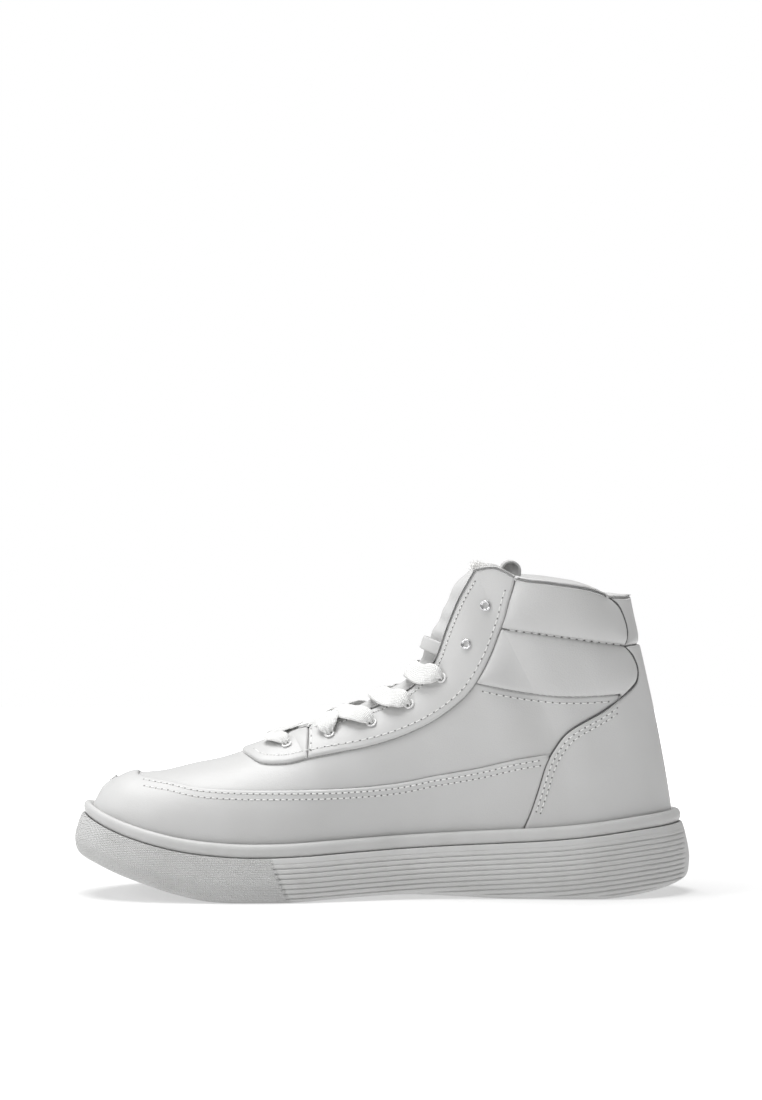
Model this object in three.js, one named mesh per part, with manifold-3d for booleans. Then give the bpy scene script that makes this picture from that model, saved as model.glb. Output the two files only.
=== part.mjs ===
// Fur-lined leather high-top shoe, right foot. Millimetres, +Z up, toe towards -X, +Y is the outer side.
// The ground is z = 0 and the origin is the middle of the footprint.
import * as THREE from 'three';
import { mergeVertices } from 'three/addons/utils/BufferGeometryUtils.js';
import Module from 'manifold-3d';

const wasm = await Module();
wasm.setup();

// ---------------------------------------------------------------- driving dimensions
const shoeLength = 300; // toe to heel at the widest part of the sole wall
const soleWidth = 107; // across the ball of the foot
const collarHeight = 157; // top of the eyestay above the ground
const soleRise = 1; // height of the sole wall against the standard one

const gap = 0.3; // clearance between touching pieces
const leather = 1.4; // every leather layer
const liningPile = 1.7; // lining
const stiffener = 1.2; // toe puff and heel counter
const collarFoam = 3.7; // foam in the collar pads
const tongueFoam = 4.7; // foam in the tongue
const laceDiameter = 2; // the lace as a round cord of the same strength
const laceSpace = laceDiameter * 2.3; // between the facing lining and the tongue
const eyeletHole = 2.9; // inner diameter of an eyelet
const eyeletBarrel = 3.7; // outer diameter of its tube
const eyeletFlange = 5.2; // outer diameter of its rim
const eyeletFlangeHeight = 0.9;
const eyeletSeatGap = 0.5; // the flange is flat and the facing is curved

const featherInset = 10.5; // widest part of the sole wall to the upper's bottom edge
const skirtDepth = 8.5; // how far the upper goes down inside the cup
const cupFloor = 4; // rubber under the foot
const cupLipInset = 3.6; // the lip stands this far inside the widest part of the wall
const boardThickness = 2;
const footbedThickness = 4.5;
const footbedPlay = 2.6; // footbed edge to the lining
const shankLength = 92;
const shankWidth = 15;
const shankThickness = 1.6;
const pullTabWidth = 18;
const pullTabThickness = 1.5;
const agletLength = 13;
const agletDiameter = 2.4;
const seamGap = gap; // between two pieces that meet along a seam

const eyeletPlaces = [
  [-46.1, 71.9], [-25.5, 77.2], [-5.2, 82.9], [13.2, 92], [29.1, 105.2], [40.6, 121.8], [49.7, 140.4],
]; // side elevation, x and z
const lacedRows = 5;

// ---------------------------------------------------------------- scales of the whole
const kx = shoeLength / 300;
const ky = soleWidth / 107;
const kz = collarHeight / 157;

const elevation = (pairs) => pairs.map(([x, z]) => new THREE.Vector2(x * kx, z * kz));

// ---------------------------------------------------------------- tracks and lines
function smoothPoints(points, closed = false, perSpan = 16) {
  const spans = closed ? points.length : points.length - 1;
  return new THREE.CatmullRomCurve3(points, closed, 'centripetal').getPoints(spans * perSpan);
}

// A curve walked by the share of its length.
class Track {
  constructor(points) {
    this.points = points;
    this.lengths = [0];
    for (let i = 1; i < points.length; i += 1) {
      this.lengths.push(this.lengths[i - 1] + points[i].distanceTo(points[i - 1]));
    }
    this.length = this.lengths.at(-1);
  }

  at(share) {
    const along = THREE.MathUtils.clamp(share, 0, 1) * this.length;
    let i = 1;
    while (i < this.lengths.length - 1 && this.lengths[i] < along) i += 1;
    const step = this.lengths[i] - this.lengths[i - 1];
    return this.points[i - 1].clone().lerp(this.points[i], (along - this.lengths[i - 1]) / step);
  }

  direction(share) {
    const ahead = this.at(share + 0.004);
    return ahead.sub(this.at(share - 0.004)).normalize();
  }
}

// Height as a function of x, smooth through the given points.
function heightLine(pairs) {
  const points = smoothPoints(elevation(pairs).map((p) => new THREE.Vector3(p.x, 0, p.y)));
  return (x) => {
    let i = 1;
    while (i < points.length - 1 && points[i].x < x) i += 1;
    const share = (x - points[i - 1].x) / (points[i].x - points[i - 1].x);
    const inside = THREE.MathUtils.clamp(share, 0, 1);
    return THREE.MathUtils.lerp(points[i - 1].z, points[i].z, inside);
  };
}

const bottomCurve = heightLine([
  [-150, 23.3], [-144, 19.5], [-137, 16.7], [-127, 12.6], [-114, 8.3], [-102, 4.6], [-85, 0.9], [-72, 0],
  [-45, 0], [-20, 1.2], [10, 2.2], [35, 1.2], [60, 0], [105, 0], [118, 1.2], [133, 3.6], [144, 6],
  [150, 8.4],
]);
const bottomLine = (x) => Math.max(0, bottomCurve(x));
const lipCurve = heightLine([
  [-150, 41], [-144, 38.5], [-132, 33.2], [-120, 29], [-98, 23.7], [-75, 21.2], [-52, 20.8], [-8, 22.7],
  [20, 24.2], [87, 28], [127, 32.6], [150, 34.3],
]);
const lipLine = (x) => lipCurve(x) * soleRise;
const beadHeight = 7; // lip to the top of the rand bead
const featherLine = (x) => lipLine(x) + beadHeight * kz;

// ---------------------------------------------------------------- sole outline
const toeTip = [-150, -8];
const innerSide = [
  [-146.5, -23], [-138, -34.5], [-120, -45], [-95, -51], [-65, -53.5], [-40, -51], [-15, -43], [10, -36.5],
  [35, -35], [60, -36], [85, -38], [110, -37], [130, -30], [143, -18],
];
const heelEnd = [150, 0];
const outerSide = [
  [143.5, 18], [131, 30], [112, 37.5], [88, 41], [60, 44.5], [30, 48.5], [0, 52], [-30, 53.5], [-55, 52.5],
  [-80, 48], [-105, 40], [-127, 28.5], [-141, 14], [-147.5, 3],
];
const perSpan = 16;
const outlineCorners = [toeTip, ...innerSide, heelEnd, ...outerSide];
const outlineDense = smoothPoints(
  outlineCorners.map(([x, y]) => new THREE.Vector3(x * kx, y * ky, 0)), true, perSpan,
);
const heelIndex = (innerSide.length + 1) * perSpan;
const outline = {
  inner: new Track(outlineDense.slice(0, heelIndex + 1)),
  outer: new Track(outlineDense.slice(heelIndex).reverse()),
};
const sideSign = { inner: -1, outer: 1 };

// Outward normal of the outline in plan.
function planNormal(side, share) {
  const along = outline[side].direction(share);
  const atEnd = share <= 0 || share >= 1;
  if (atEnd) return new THREE.Vector3(share <= 0 ? -1 : 1, 0, 0);
  return new THREE.Vector3(sideSign[side] * -along.y, sideSign[side] * along.x, 0);
}

// A point in plan, offset outwards from the upper's bottom edge.
function planPoint(side, share, offset) {
  return outline[side].at(share).addScaledVector(planNormal(side, share), offset - featherInset);
}

// ---------------------------------------------------------------- top line of the upper
const trackPoints = (points, sign = 1) => points.map(
  ([x, y, z]) => new THREE.Vector3(x * kx, sign * y * ky, z * kz),
);
const throatBase = [-48, 0, 76.5];
const ridge = new Track(smoothPoints(trackPoints([
  [-131, -6, 54], [-122, -5, 57.8], [-106, -3.5, 59.7], [-91.6, -2, 63], [-79.6, -1, 65.3],
  [-69, -0.5, 68.6], [-58, 0, 72.4], throatBase,
])));
const throatTrack = (sign) => new Track(smoothPoints(trackPoints([
  throatBase, [-43.5, 4.6, 77.6], [-37, 9.2, 79.3], [-28, 12.8, 81.6], [-18, 14.8, 84.6], [-2, 16.5, 90],
  [15, 17.5, 99.5], [26, 18.5, 112], [32.5, 19.5, 129], [38.5, 20.5, 144], [45.5, 22, 157],
], sign)));
const throat = { inner: throatTrack(-1), outer: throatTrack(1) };
const collarTrack = (sign) => new Track(smoothPoints(trackPoints([
  [45.5, 22, 157], [54, 26, 158], [66, 29.5, 152.5], [80, 31.5, 150.5], [95, 30, 148], [107, 23.5, 144.5],
  [115, 12.5, 143], [118.5, 0, 143],
], sign)));
const collar = { inner: collarTrack(-1), outer: collarTrack(1) };

// Around the shoe: 0 at the toe, 1 at the heel, with the throat between these two shares.
const throatStart = 0.36;
const throatEnd = 0.72;
const featherAtThroatStart = { inner: 0.415, outer: 0.405 };
const featherAtThroatEnd = { inner: 0.775, outer: 0.77 };

function partShare(around) {
  if (around <= throatStart) return ['ridge', around / throatStart];
  if (around <= throatEnd) return ['throat', (around - throatStart) / (throatEnd - throatStart)];
  return ['collar', (around - throatEnd) / (1 - throatEnd)];
}

function outlineShare(side, around) {
  const [part, share] = partShare(around);
  const start = featherAtThroatStart[side];
  const end = featherAtThroatEnd[side];
  if (part === 'ridge') return start * share;
  if (part === 'throat') return THREE.MathUtils.lerp(start, end, share);
  return THREE.MathUtils.lerp(end, 1, share);
}

function topPoint(side, around) {
  const [part, share] = partShare(around);
  if (part === 'ridge') return ridge.at(share);
  return (part === 'throat' ? throat : collar)[side].at(share);
}

function featherPoint(side, around) {
  const point = planPoint(side, outlineShare(side, around), 0);
  point.z = featherLine(point.x);
  return point;
}

// ---------------------------------------------------------------- cross sections
// around, lean outwards, lower handle, upper handle, and the way the section leaves the top line
const sectionKnots = [
  [0, -0.75, 0.4, 0.5, null],
  [0.1, -0.1, 0.5, 0.5, null],
  [0.2, 0.14, 0.55, 0.5, null],
  [throatStart, 0.16, 0.5, 0.48, null],
  [0.44, 0.12, 0.45, 0.42, [0.3, 0.86, -0.35]],
  [0.54, 0.08, 0.42, 0.36, [0.35, 0.75, -0.55]],
  [0.63, 0.04, 0.38, 0.34, [0.46, 0.62, -0.62]],
  [throatEnd, 0.02, 0.34, 0.33, [0.36, 0.3, -0.88]],
  [0.85, -0.02, 0.33, 0.33, [0.12, 0.1, -0.99]],
  [1, -0.13, 0.3, 0.28, [0.24, 0, -0.97]],
];

function ridgeDirection(side, share, around) {
  const along = ridge.direction(Math.min(share, 0.995));
  const away = featherPoint(side, around).sub(ridge.at(share));
  return along.multiplyScalar(away.x).add(new THREE.Vector3(0, away.y, 0)).normalize();
}

function knotDirection(side, knot) {
  if (knot[4]) return new THREE.Vector3(knot[4][0], knot[4][1] * sideSign[side], knot[4][2]).normalize();
  return ridgeDirection(side, 1, throatStart);
}

function section(side, around) {
  let i = 1;
  while (i < sectionKnots.length - 1 && sectionKnots[i][0] < around) i += 1;
  const low = sectionKnots[i - 1];
  const high = sectionKnots[i];
  const share = THREE.MathUtils.smoothstep(around, low[0], high[0]);
  const [lean, lowHandle, highHandle] = [1, 2, 3].map((k) => THREE.MathUtils.lerp(low[k], high[k], share));
  const foot = featherPoint(side, around);
  const top = topPoint(side, around);
  const outwards = planNormal(side, outlineShare(side, around));
  const rise = (top.z - foot.z) * lowHandle;
  const direction = around <= throatStart
    ? ridgeDirection(side, around / throatStart, around)
    : knotDirection(side, low).lerp(knotDirection(side, high), share).normalize();
  const reach = foot.distanceTo(top) * highHandle;
  return {
    foot,
    footHandle: foot.clone().addScaledVector(outwards, lean * rise).add(new THREE.Vector3(0, 0, rise)),
    topHandle: top.clone().addScaledVector(direction, reach),
    top,
  };
}

// The upper's surface: height share 0 at the feather line, 1 at the top line, below 0 inside the cup.
function pointOn(side, around, height) {
  const { foot, footHandle, topHandle, top } = section(side, around);
  if (height < 0) return foot.add(new THREE.Vector3(0, 0, skirtDepth * height));
  const rest = 1 - height;
  return foot.multiplyScalar(rest ** 3)
    .addScaledVector(footHandle, 3 * rest * rest * height)
    .addScaledVector(topHandle, 3 * rest * height * height)
    .addScaledVector(top, height ** 3);
}

function normalOn(side, around, height) {
  const step = 0.004;
  const a0 = Math.max(0, around - step);
  const a1 = Math.min(1, around + step);
  const h1 = Math.min(1, height + step);
  const h0 = height - step;
  const along = pointOn(side, a1, height).sub(pointOn(side, a0, height));
  const up = pointOn(side, around, h1).sub(pointOn(side, around, h0));
  return along.cross(up).multiplyScalar(sideSign[side] < 0 ? 1 : -1).normalize();
}

// Where the surface shows the point x, z of the side elevation.
function locate(side, x, z) {
  let best = [0.5, 0.5];
  let nearest = Infinity;
  for (let i = 0; i <= 40; i += 1) {
    for (let j = 0; j <= 20; j += 1) {
      const point = pointOn(side, i / 40, j / 20);
      const miss = Math.hypot(point.x - x, point.z - z);
      if (miss < nearest) {
        nearest = miss;
        best = [i / 40, j / 20];
      }
    }
  }
  for (let step = 0; step < 12; step += 1) {
    const here = pointOn(side, ...best);
    const delta = 0.002;
    const perAround = pointOn(side, best[0] + delta, best[1]).sub(here).divideScalar(delta);
    const perHeight = pointOn(side, best[0], best[1] - delta).sub(here).divideScalar(-delta);
    const det = perAround.x * perHeight.z - perHeight.x * perAround.z;
    const dx = x - here.x;
    const dz = z - here.z;
    best = [
      THREE.MathUtils.clamp(best[0] + (dx * perHeight.z - dz * perHeight.x) / det, 0.002, 0.998),
      THREE.MathUtils.clamp(best[1] + (dz * perAround.x - dx * perAround.z) / det, 0, 0.995),
    ];
  }
  return best;
}

// ---------------------------------------------------------------- surface grid shared by all layers
const columnsPerPart = { ridge: 9, throat: 10, collar: 7 };
const heightRows = 7;
const columnShares = [];
const partEnds = { ridge: [0, throatStart], throat: [throatStart, throatEnd], collar: [throatEnd, 1] };
for (const [part, count] of Object.entries(columnsPerPart)) {
  const [start, end] = partEnds[part];
  for (let i = 0; i < count; i += 1) columnShares.push(start + ((end - start) * i) / count);
}
columnShares.push(1);
const rowShares = [-1];
for (let j = 0; j <= heightRows; j += 1) rowShares.push(j / heightRows);

// A sheet is a list of points and a list of triangles that face outwards.
function weldedSheet(quads) {
  const points = [];
  const known = new Map();
  const indexOf = (point) => {
    const key = point.toArray().map((v) => Math.round(v * 500)).join();
    if (!known.has(key)) {
      known.set(key, points.length);
      points.push(point);
    }
    return known.get(key);
  };
  const faces = [];
  for (const quad of quads) {
    const [a, b, c, d] = quad.map(indexOf);
    for (const face of [[a, b, c], [a, c, d]]) {
      if (new Set(face).size === 3) faces.push(face);
    }
  }
  return { points, faces };
}

function surfaceQuads(side) {
  const grid = columnShares.map((around) => rowShares.map((height) => pointOn(side, around, height)));
  const quads = [];
  for (let i = 0; i < grid.length - 1; i += 1) {
    for (let j = 0; j < rowShares.length - 1; j += 1) {
      const quad = [grid[i][j], grid[i + 1][j], grid[i + 1][j + 1], grid[i][j + 1]];
      quads.push(sideSign[side] < 0 ? quad : quad.reverse());
    }
  }
  return quads;
}
const upperSheet = weldedSheet([...surfaceQuads('inner'), ...surfaceQuads('outer')]);

function sheetNormals({ points, faces }) {
  const normals = points.map(() => new THREE.Vector3());
  for (const [a, b, c] of faces) {
    const edge = points[b].clone().sub(points[a]);
    const area = edge.cross(points[c].clone().sub(points[a]));
    for (const index of [a, b, c]) normals[index].add(area);
  }
  return normals.map((normal) => normal.normalize());
}

// A closed solid between two offsets of a sheet.
function thicken(sheet, low, high) {
  const normals = sheetNormals(sheet);
  const count = sheet.points.length;
  const layer = (offset) => sheet.points.map(
    (point, i) => point.clone().addScaledVector(normals[i], offset),
  );
  const points = [...layer(high), ...layer(low)];
  const faces = [];
  const edges = new Map();
  for (const [a, b, c] of sheet.faces) {
    faces.push([a, b, c], [a + count, c + count, b + count]);
    for (const [from, to] of [[a, b], [b, c], [c, a]]) edges.set(`${from},${to}`, [from, to]);
  }
  for (const [from, to] of edges.values()) {
    if (!edges.has(`${to},${from}`)) faces.push([to, from, from + count], [to, from + count, to + count]);
  }
  return solidOf(points, faces);
}

// ---------------------------------------------------------------- solids
function solidOf(points, faces) {
  const vertProperties = new Float32Array(points.flatMap((point) => point.toArray()));
  const mesh = new wasm.Mesh({ numProp: 3, vertProperties, triVerts: new Uint32Array(faces.flat()) });
  return new wasm.Manifold(mesh);
}

function solidFromGeometry(geometry) {
  const plain = geometry.clone();
  plain.deleteAttribute('normal');
  plain.deleteAttribute('uv');
  const merged = mergeVertices(plain, 1e-4);
  const vertProperties = new Float32Array(merged.attributes.position.array);
  const triVerts = new Uint32Array(merged.index.array);
  return new wasm.Manifold(new wasm.Mesh({ numProp: 3, vertProperties, triVerts }));
}

function geometryOf(solid) {
  const mesh = solid.getMesh();
  const geometry = new THREE.BufferGeometry();
  geometry.setAttribute('position', new THREE.BufferAttribute(mesh.vertProperties, 3));
  geometry.setIndex(new THREE.BufferAttribute(mesh.triVerts, 1));
  const flat = geometry.toNonIndexed();
  flat.computeVertexNormals();
  return flat;
}

// A prism along Y over an outline of the side elevation, on one side of the shoe or on both.
const farAway = 90;
function prism(corners, side = 'both') {
  const shape = new THREE.Shape(corners);
  const inner = side === 'outer' ? gap / 2 : -farAway;
  const outer = side === 'inner' ? -gap / 2 : farAway;
  const geometry = new THREE.ExtrudeGeometry(shape, { depth: outer - inner, bevelEnabled: false });
  geometry.rotateX(Math.PI / 2);
  geometry.translate(0, outer, 0);
  return solidFromGeometry(geometry);
}

// A seam line moved sideways, to the left of its direction.
function moved(line, distance) {
  return line.map((point, i) => {
    const before = line[Math.max(0, i - 1)];
    const after = line[Math.min(line.length - 1, i + 1)];
    const along = after.clone().sub(before).normalize();
    return new THREE.Vector2(point.x - along.y * distance, point.y + along.x * distance);
  });
}
const reversed = (line) => [...line].reverse();
const corner = (x, z) => new THREE.Vector2(x * kx, z * kz);

// ---------------------------------------------------------------- seam lines of the side elevation
const mudguardTop = elevation([
  [-118.7, 75], [-118.7, 57.5], [-110, 56.4], [-101.8, 55.6], [-89.3, 53.4], [-75, 52.6], [-51, 52.5],
  [-15.5, 53.3], [8.3, 55.5], [22.7, 58.4], [46.5, 62.6], [64.3, 66.8], [79.7, 69.3], [90, 71],
]);
const heelPanelFront = elevation([
  [60, 12], [67.9, 33], [71.4, 41.6], [74.9, 52.6], [78.6, 64.6], [83.3, 73], [89.3, 80.2], [105.8, 89.8],
  [113.5, 95.4],
]);
const padCorner = corner(44.9, 103.4);
const padBottom = elevation([[58.3, 100.6], [70, 98.6], [88, 97], [106, 97.4], [114.5, 97.9]]);
const padSeam = elevation([[50, 131], [57.2, 129.7], [87.2, 125.6], [117, 121], [121, 120.5]]);
const heelPadFront = elevation([
  [113.5, 95.4], [119.5, 100.6], [121.9, 103.3], [122.8, 107.8], [121.9, 112.1], [119.1, 117.3], [116, 120.8],
]);
const heelCollarFront = elevation([
  [116, 120.8], [117.4, 123.7], [117.2, 129.4], [115.8, 134.3], [113.5, 139.2], [110.6, 142.5], [106, 146],
  [103, 152],
]);
const eyestayRear = elevation([
  [-69, 80], [-69, 68.8], [-64.4, 67], [-59, 64.6], [-51.4, 64.2], [-43.8, 65], [-36, 67], [-20.8, 70],
  [-5.4, 73.3], [9.9, 78.2], [25.3, 85.8], [38, 95.5], [44.8, 103.7], [51.2, 115.8], [55.3, 126],
  [58.7, 135], [60.7, 143], [63.5, 153], [65, 165],
]);
const bridgeSeam = -36 * kx;
const heelPinch = 120 * kz;

// ---------------------------------------------------------------- layers, as offsets from the surface
const baseLow = -leather;
const overlayLow = gap;
const overlayHigh = gap + leather;
const stiffenerHigh = baseLow - gap;
const stiffenerLow = stiffenerHigh - stiffener;
const liningHigh = stiffenerLow - gap;
const liningLow = liningHigh - liningPile;
const padCoverLow = 1;
const padCoverHigh = padCoverLow + leather;
const foamHigh = padCoverLow - gap;
const foamLow = foamHigh - collarFoam;
const tongueTopOffset = liningLow - laceSpace;
const laceUnder = liningLow - laceSpace / 2;
const laceOver = overlayHigh + eyeletSeatGap + eyeletFlangeHeight + gap + laceDiameter / 2;

const above = 190 * kz;
const below = -20;
const ahead = -170 * kx;
const behind = 170 * kx;
const backBelow = new THREE.Vector2(behind, below);

// ---------------------------------------------------------------- eyelet holes
const eyelets = [];
for (const side of ['inner', 'outer']) {
  eyeletPlaces.forEach(([x, z], row) => {
    const [around, height] = locate(side, x * kx, z * kz);
    const point = pointOn(side, around, height);
    const normal = normalOn(side, around, height);
    eyelets.push({ side, row, around, height, point, normal });
  });
}

function turnTo(geometry, normal, point) {
  const turn = new THREE.Quaternion().setFromUnitVectors(new THREE.Vector3(0, 0, 1), normal);
  return geometry.applyQuaternion(turn).translate(point.x, point.y, point.z);
}

function eyeletDrill({ normal, point }, radius) {
  const drill = new THREE.CylinderGeometry(radius, radius, 24, 10).rotateX(Math.PI / 2);
  return solidFromGeometry(turnTo(drill, normal, point));
}

function drilled(solid, side) {
  return eyelets.filter((eyelet) => !side || eyelet.side === side).reduce(
    (rest, eyelet) => rest.subtract(eyeletDrill(eyelet, eyeletBarrel / 2 + gap)), solid,
  );
}

function eyeletGeometry({ normal, point }) {
  const hole = eyeletHole / 2;
  const barrel = eyeletBarrel / 2;
  const flange = eyeletFlange / 2;
  const seat = overlayHigh + eyeletSeatGap;
  const crown = seat + eyeletFlangeHeight;
  const foot = liningHigh + gap;
  const profile = [
    [hole, foot], [barrel, foot], [barrel, seat], [flange, seat], [flange - 0.6, crown], [hole, crown],
    [hole, foot],
  ].map(([r, h]) => new THREE.Vector2(r, h));
  return turnTo(new THREE.LatheGeometry(profile, 10).rotateX(Math.PI / 2), normal, point);
}

// ---------------------------------------------------------------- the assembly
const shoe = new THREE.Group();
const finishes = {
  leather: { color: 0xf1f1f0, roughness: 0.42 },
  lining: { color: 0xf4f2ee, roughness: 0.95 },
  foam: { color: 0xe8e2cf, roughness: 0.9 },
  rubber: { color: 0xeeeeec, roughness: 0.55 },
  board: { color: 0xcdb892, roughness: 0.85 },
  stiffener: { color: 0xd8d2c4, roughness: 0.7 },
  steel: { color: 0xc8c8c8, roughness: 0.3, metalness: 1 },
  enamel: { color: 0xf0f0f0, roughness: 0.35, metalness: 0.2 },
  lace: { color: 0xf7f7f5, roughness: 0.8 },
  plastic: { color: 0xf2f2f2, roughness: 0.3 },
};

function add(name, piece, finish) {
  const geometry = piece.isBufferGeometry ? piece : geometryOf(piece);
  const mesh = new THREE.Mesh(geometry, new THREE.MeshStandardMaterial(finishes[finish]));
  mesh.name = name;
  shoe.add(mesh);
}

// ---------------------------------------------------------------- sole
// A ring of points around the outline, with the height given as a function of x. The height is read
// at the offset `measured`, which is 0 for pieces that meet the upper's bottom edge.
function ring(offset, height, measured = offset) {
  const side = (name) => columnShares.map((around) => {
    const share = outlineShare(name, around);
    const point = planPoint(name, share, offset);
    point.z = height(planPoint(name, share, measured).x);
    return point;
  });
  const inner = side('inner');
  return [...inner, ...side('outer').slice(1, -1).reverse()];
}
const ringCount = 2 * (columnShares.length - 1);

// A closed solid through stacked rings, from the outside bottom to the last ring; both ends are capped.
function stacked(rings) {
  const faces = [];
  const points = rings.flat();
  const half = columnShares.length - 1;
  for (let r = 0; r < rings.length - 1; r += 1) {
    for (let i = 0; i < ringCount; i += 1) {
      const next = (i + 1) % ringCount;
      const [a, b] = [r * ringCount + i, r * ringCount + next];
      faces.push([a, b, b + ringCount], [a, b + ringCount, a + ringCount]);
    }
  }
  const cap = (start, flip) => {
    for (let i = 0; i < half; i += 1) {
      const inner = [start + i, start + i + 1];
      const outer = [start + ((ringCount - i) % ringCount), start + ringCount - i - 1];
      const strip = [[inner[0], outer[1], inner[1]], [inner[0], outer[0], outer[1]]];
      for (const face of strip) {
        if (new Set(face).size === 3) faces.push(flip ? [...face].reverse() : face);
      }
    }
  };
  cap(0, false);
  cap((rings.length - 1) * ringCount, true);
  return solidOf(points, faces);
}

// A hoop around the shoe whose section is a closed list of [offset, height] pairs.
function hoop(sectionPoints) {
  const rings = sectionPoints.map(([offset, height]) => ring(offset, height));
  const faces = [];
  for (let r = 0; r < rings.length; r += 1) {
    const nextRing = (r + 1) % rings.length;
    for (let i = 0; i < ringCount; i += 1) {
      const next = (i + 1) % ringCount;
      const [a, b] = [r * ringCount + i, r * ringCount + next];
      const [c, d] = [nextRing * ringCount + next, nextRing * ringCount + i];
      faces.push([a, b, c], [a, c, d]);
    }
  }
  return solidOf(rings.flat(), faces);
}

const skirtEdge = (x) => featherLine(x) - skirtDepth;
const boardTop = (x) => skirtEdge(x) - gap;
const boardBottom = (x) => boardTop(x) - boardThickness;
const cupFloorTop = (x) => bottomLine(x) + cupFloor;
const cupInside = overlayHigh + gap * 2;
const cupLip = featherInset - cupLipInset;

const cupsole = stacked([
  ring(featherInset - 4.5, bottomLine),
  ring(featherInset - 0.7, (x) => bottomLine(x) + 2.4),
  ring(featherInset, (x) => THREE.MathUtils.lerp(bottomLine(x), lipLine(x), 0.42)),
  ring(cupLip, lipLine),
  ring(cupInside, lipLine),
  ring(cupInside, cupFloorTop, 0),
]);
add('cupsole', cupsole, 'rubber');

const beadFoot = (x) => lipLine(x) + gap;
const beadSection = [
  [cupInside, 0], [cupLip - 1.7, 0], [cupLip - 0.9, 2.4], [cupLip - 1.4, 4.8], [cupLip - 3.2, 6.5],
  [cupInside, beadHeight - gap],
];
const beadCorners = beadSection.map(([offset, rise]) => [offset, (x) => beadFoot(x) + rise * kz]);
add('rand_bead', hoop(beadCorners), 'rubber');

const boardEdge = cupInside - 3 * gap;
add('insole_board', stacked([ring(boardEdge, boardBottom, 0), ring(boardEdge, boardTop, 0)]), 'board');

function strip(start, end, halfWidth, low, high) {
  const steps = 8;
  const points = [];
  for (let i = 0; i <= steps; i += 1) {
    const x = THREE.MathUtils.lerp(start, end, i / steps);
    const middle = 2 * ky;
    for (const [across, height] of [[-1, low], [1, low], [1, high], [-1, high]]) {
      points.push(new THREE.Vector3(x, middle + across * halfWidth, height(x)));
    }
  }
  const faces = [[0, 3, 2], [0, 2, 1]];
  for (let i = 0; i < steps; i += 1) {
    for (let k = 0; k < 4; k += 1) {
      const [a, b] = [i * 4 + k, i * 4 + ((k + 1) % 4)];
      faces.push([a, b, b + 4], [a, b + 4, a + 4]);
    }
  }
  const last = steps * 4;
  faces.push([last, last + 1, last + 2], [last, last + 2, last + 3]);
  return solidOf(points, faces);
}
const shankStart = -22 * kx;
const shankEnd = shankStart + shankLength;
const shankTop = (x) => boardBottom(x) - gap;
const shankBottom = (x) => shankTop(x) - shankThickness;
add('shank', strip(shankStart, shankEnd, shankWidth / 2, shankBottom, shankTop), 'steel');

const shankRoom = strip(
  shankStart - gap, shankEnd + gap, shankWidth / 2 + gap, (x) => shankBottom(x) - gap, (x) => shankTop(x) + 2,
);
const foamEdge = cupInside - gap;
const midsole = stacked([
  ring(foamEdge, (x) => cupFloorTop(x) + gap, 0), ring(foamEdge, (x) => boardBottom(x) - gap, 0),
]).subtract(shankRoom);
add('midsole_insert', midsole, 'foam');

const footbedEdge = liningLow - footbedPlay;
const footbed = stacked([
  ring(footbedEdge, (x) => boardTop(x) + gap * 2, 0),
  ring(footbedEdge, (x) => boardTop(x) + gap * 2 + footbedThickness, 0),
]);
add('footbed', footbed, 'foam');

// ---------------------------------------------------------------- upper
const base = thicken(upperSheet, baseLow, 0);
const overlay = thicken(upperSheet, overlayLow, overlayHigh);
const padCover = thicken(upperSheet, padCoverLow, padCoverHigh);
const padFoam = thicken(upperSheet, foamLow, foamHigh);
const stiff = thicken(upperSheet, stiffenerLow, stiffenerHigh);
const lining = thicken(upperSheet, liningLow, liningHigh);

// Everything ahead of the eyestay's rear edge and below the collar pads, and behind them up to the pinch.
const eyestayUpper = eyestayRear.slice(13);
const vampOutline = [
  new THREE.Vector2(ahead, below), new THREE.Vector2(behind, below), new THREE.Vector2(behind, heelPinch),
  corner(117.4, 120), ...reversed(moved(heelPadFront, -seamGap)).slice(1, -1),
  ...reversed(moved(padBottom, -seamGap)), padCorner.clone().subScalar(seamGap),
  ...moved(eyestayUpper, seamGap), new THREE.Vector2(ahead, above),
];
add('vamp', drilled(base.intersect(prism(vampOutline))), 'leather');

const mudguardOutline = [
  new THREE.Vector2(ahead, below), ...moved(heelPanelFront, seamGap).slice(0, 5), corner(78.2, 69),
  ...reversed(mudguardTop.slice(0, 12)), new THREE.Vector2(ahead, 75 * kz),
];
add('mudguard', overlay.intersect(prism(mudguardOutline)), 'leather');

const heelPanelOutline = [
  ...heelPanelFront, ...heelPadFront.slice(1), new THREE.Vector2(behind, heelPinch + 0.8),
  new THREE.Vector2(behind, below),
];
add('heel_panel', overlay.intersect(prism(heelPanelOutline)), 'leather');

const bridgeOutline = [
  new THREE.Vector2(bridgeSeam - seamGap, above), ...eyestayRear.slice(0, 6),
  new THREE.Vector2(bridgeSeam - seamGap, 67 * kz),
];
add('throat_bridge', drilled(overlay.intersect(prism(bridgeOutline))), 'leather');

const facingOutline = [new THREE.Vector2(bridgeSeam, above), ...eyestayRear.slice(6)];
const padsOutline = [
  ...reversed(moved(padBottom, seamGap)),
  padCorner.clone().addScalar(seamGap),
  ...moved(eyestayUpper, -seamGap),
  ...reversed(moved(heelCollarFront, seamGap)),
  ...reversed(moved(heelPadFront, seamGap)).slice(1, -1),
];
const lowerOutline = [
  corner(30, 60), corner(140, 60), ...reversed(moved(padSeam, -seamGap)), corner(30, 131),
];
const upperOutline = [...moved(padSeam, seamGap), corner(130, 175), corner(40, 175), corner(40, 134)];
const heelCollarOutline = [
  new THREE.Vector2(behind, heelPinch + 0.8 + gap), ...heelCollarFront, new THREE.Vector2(behind, above),
];

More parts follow.
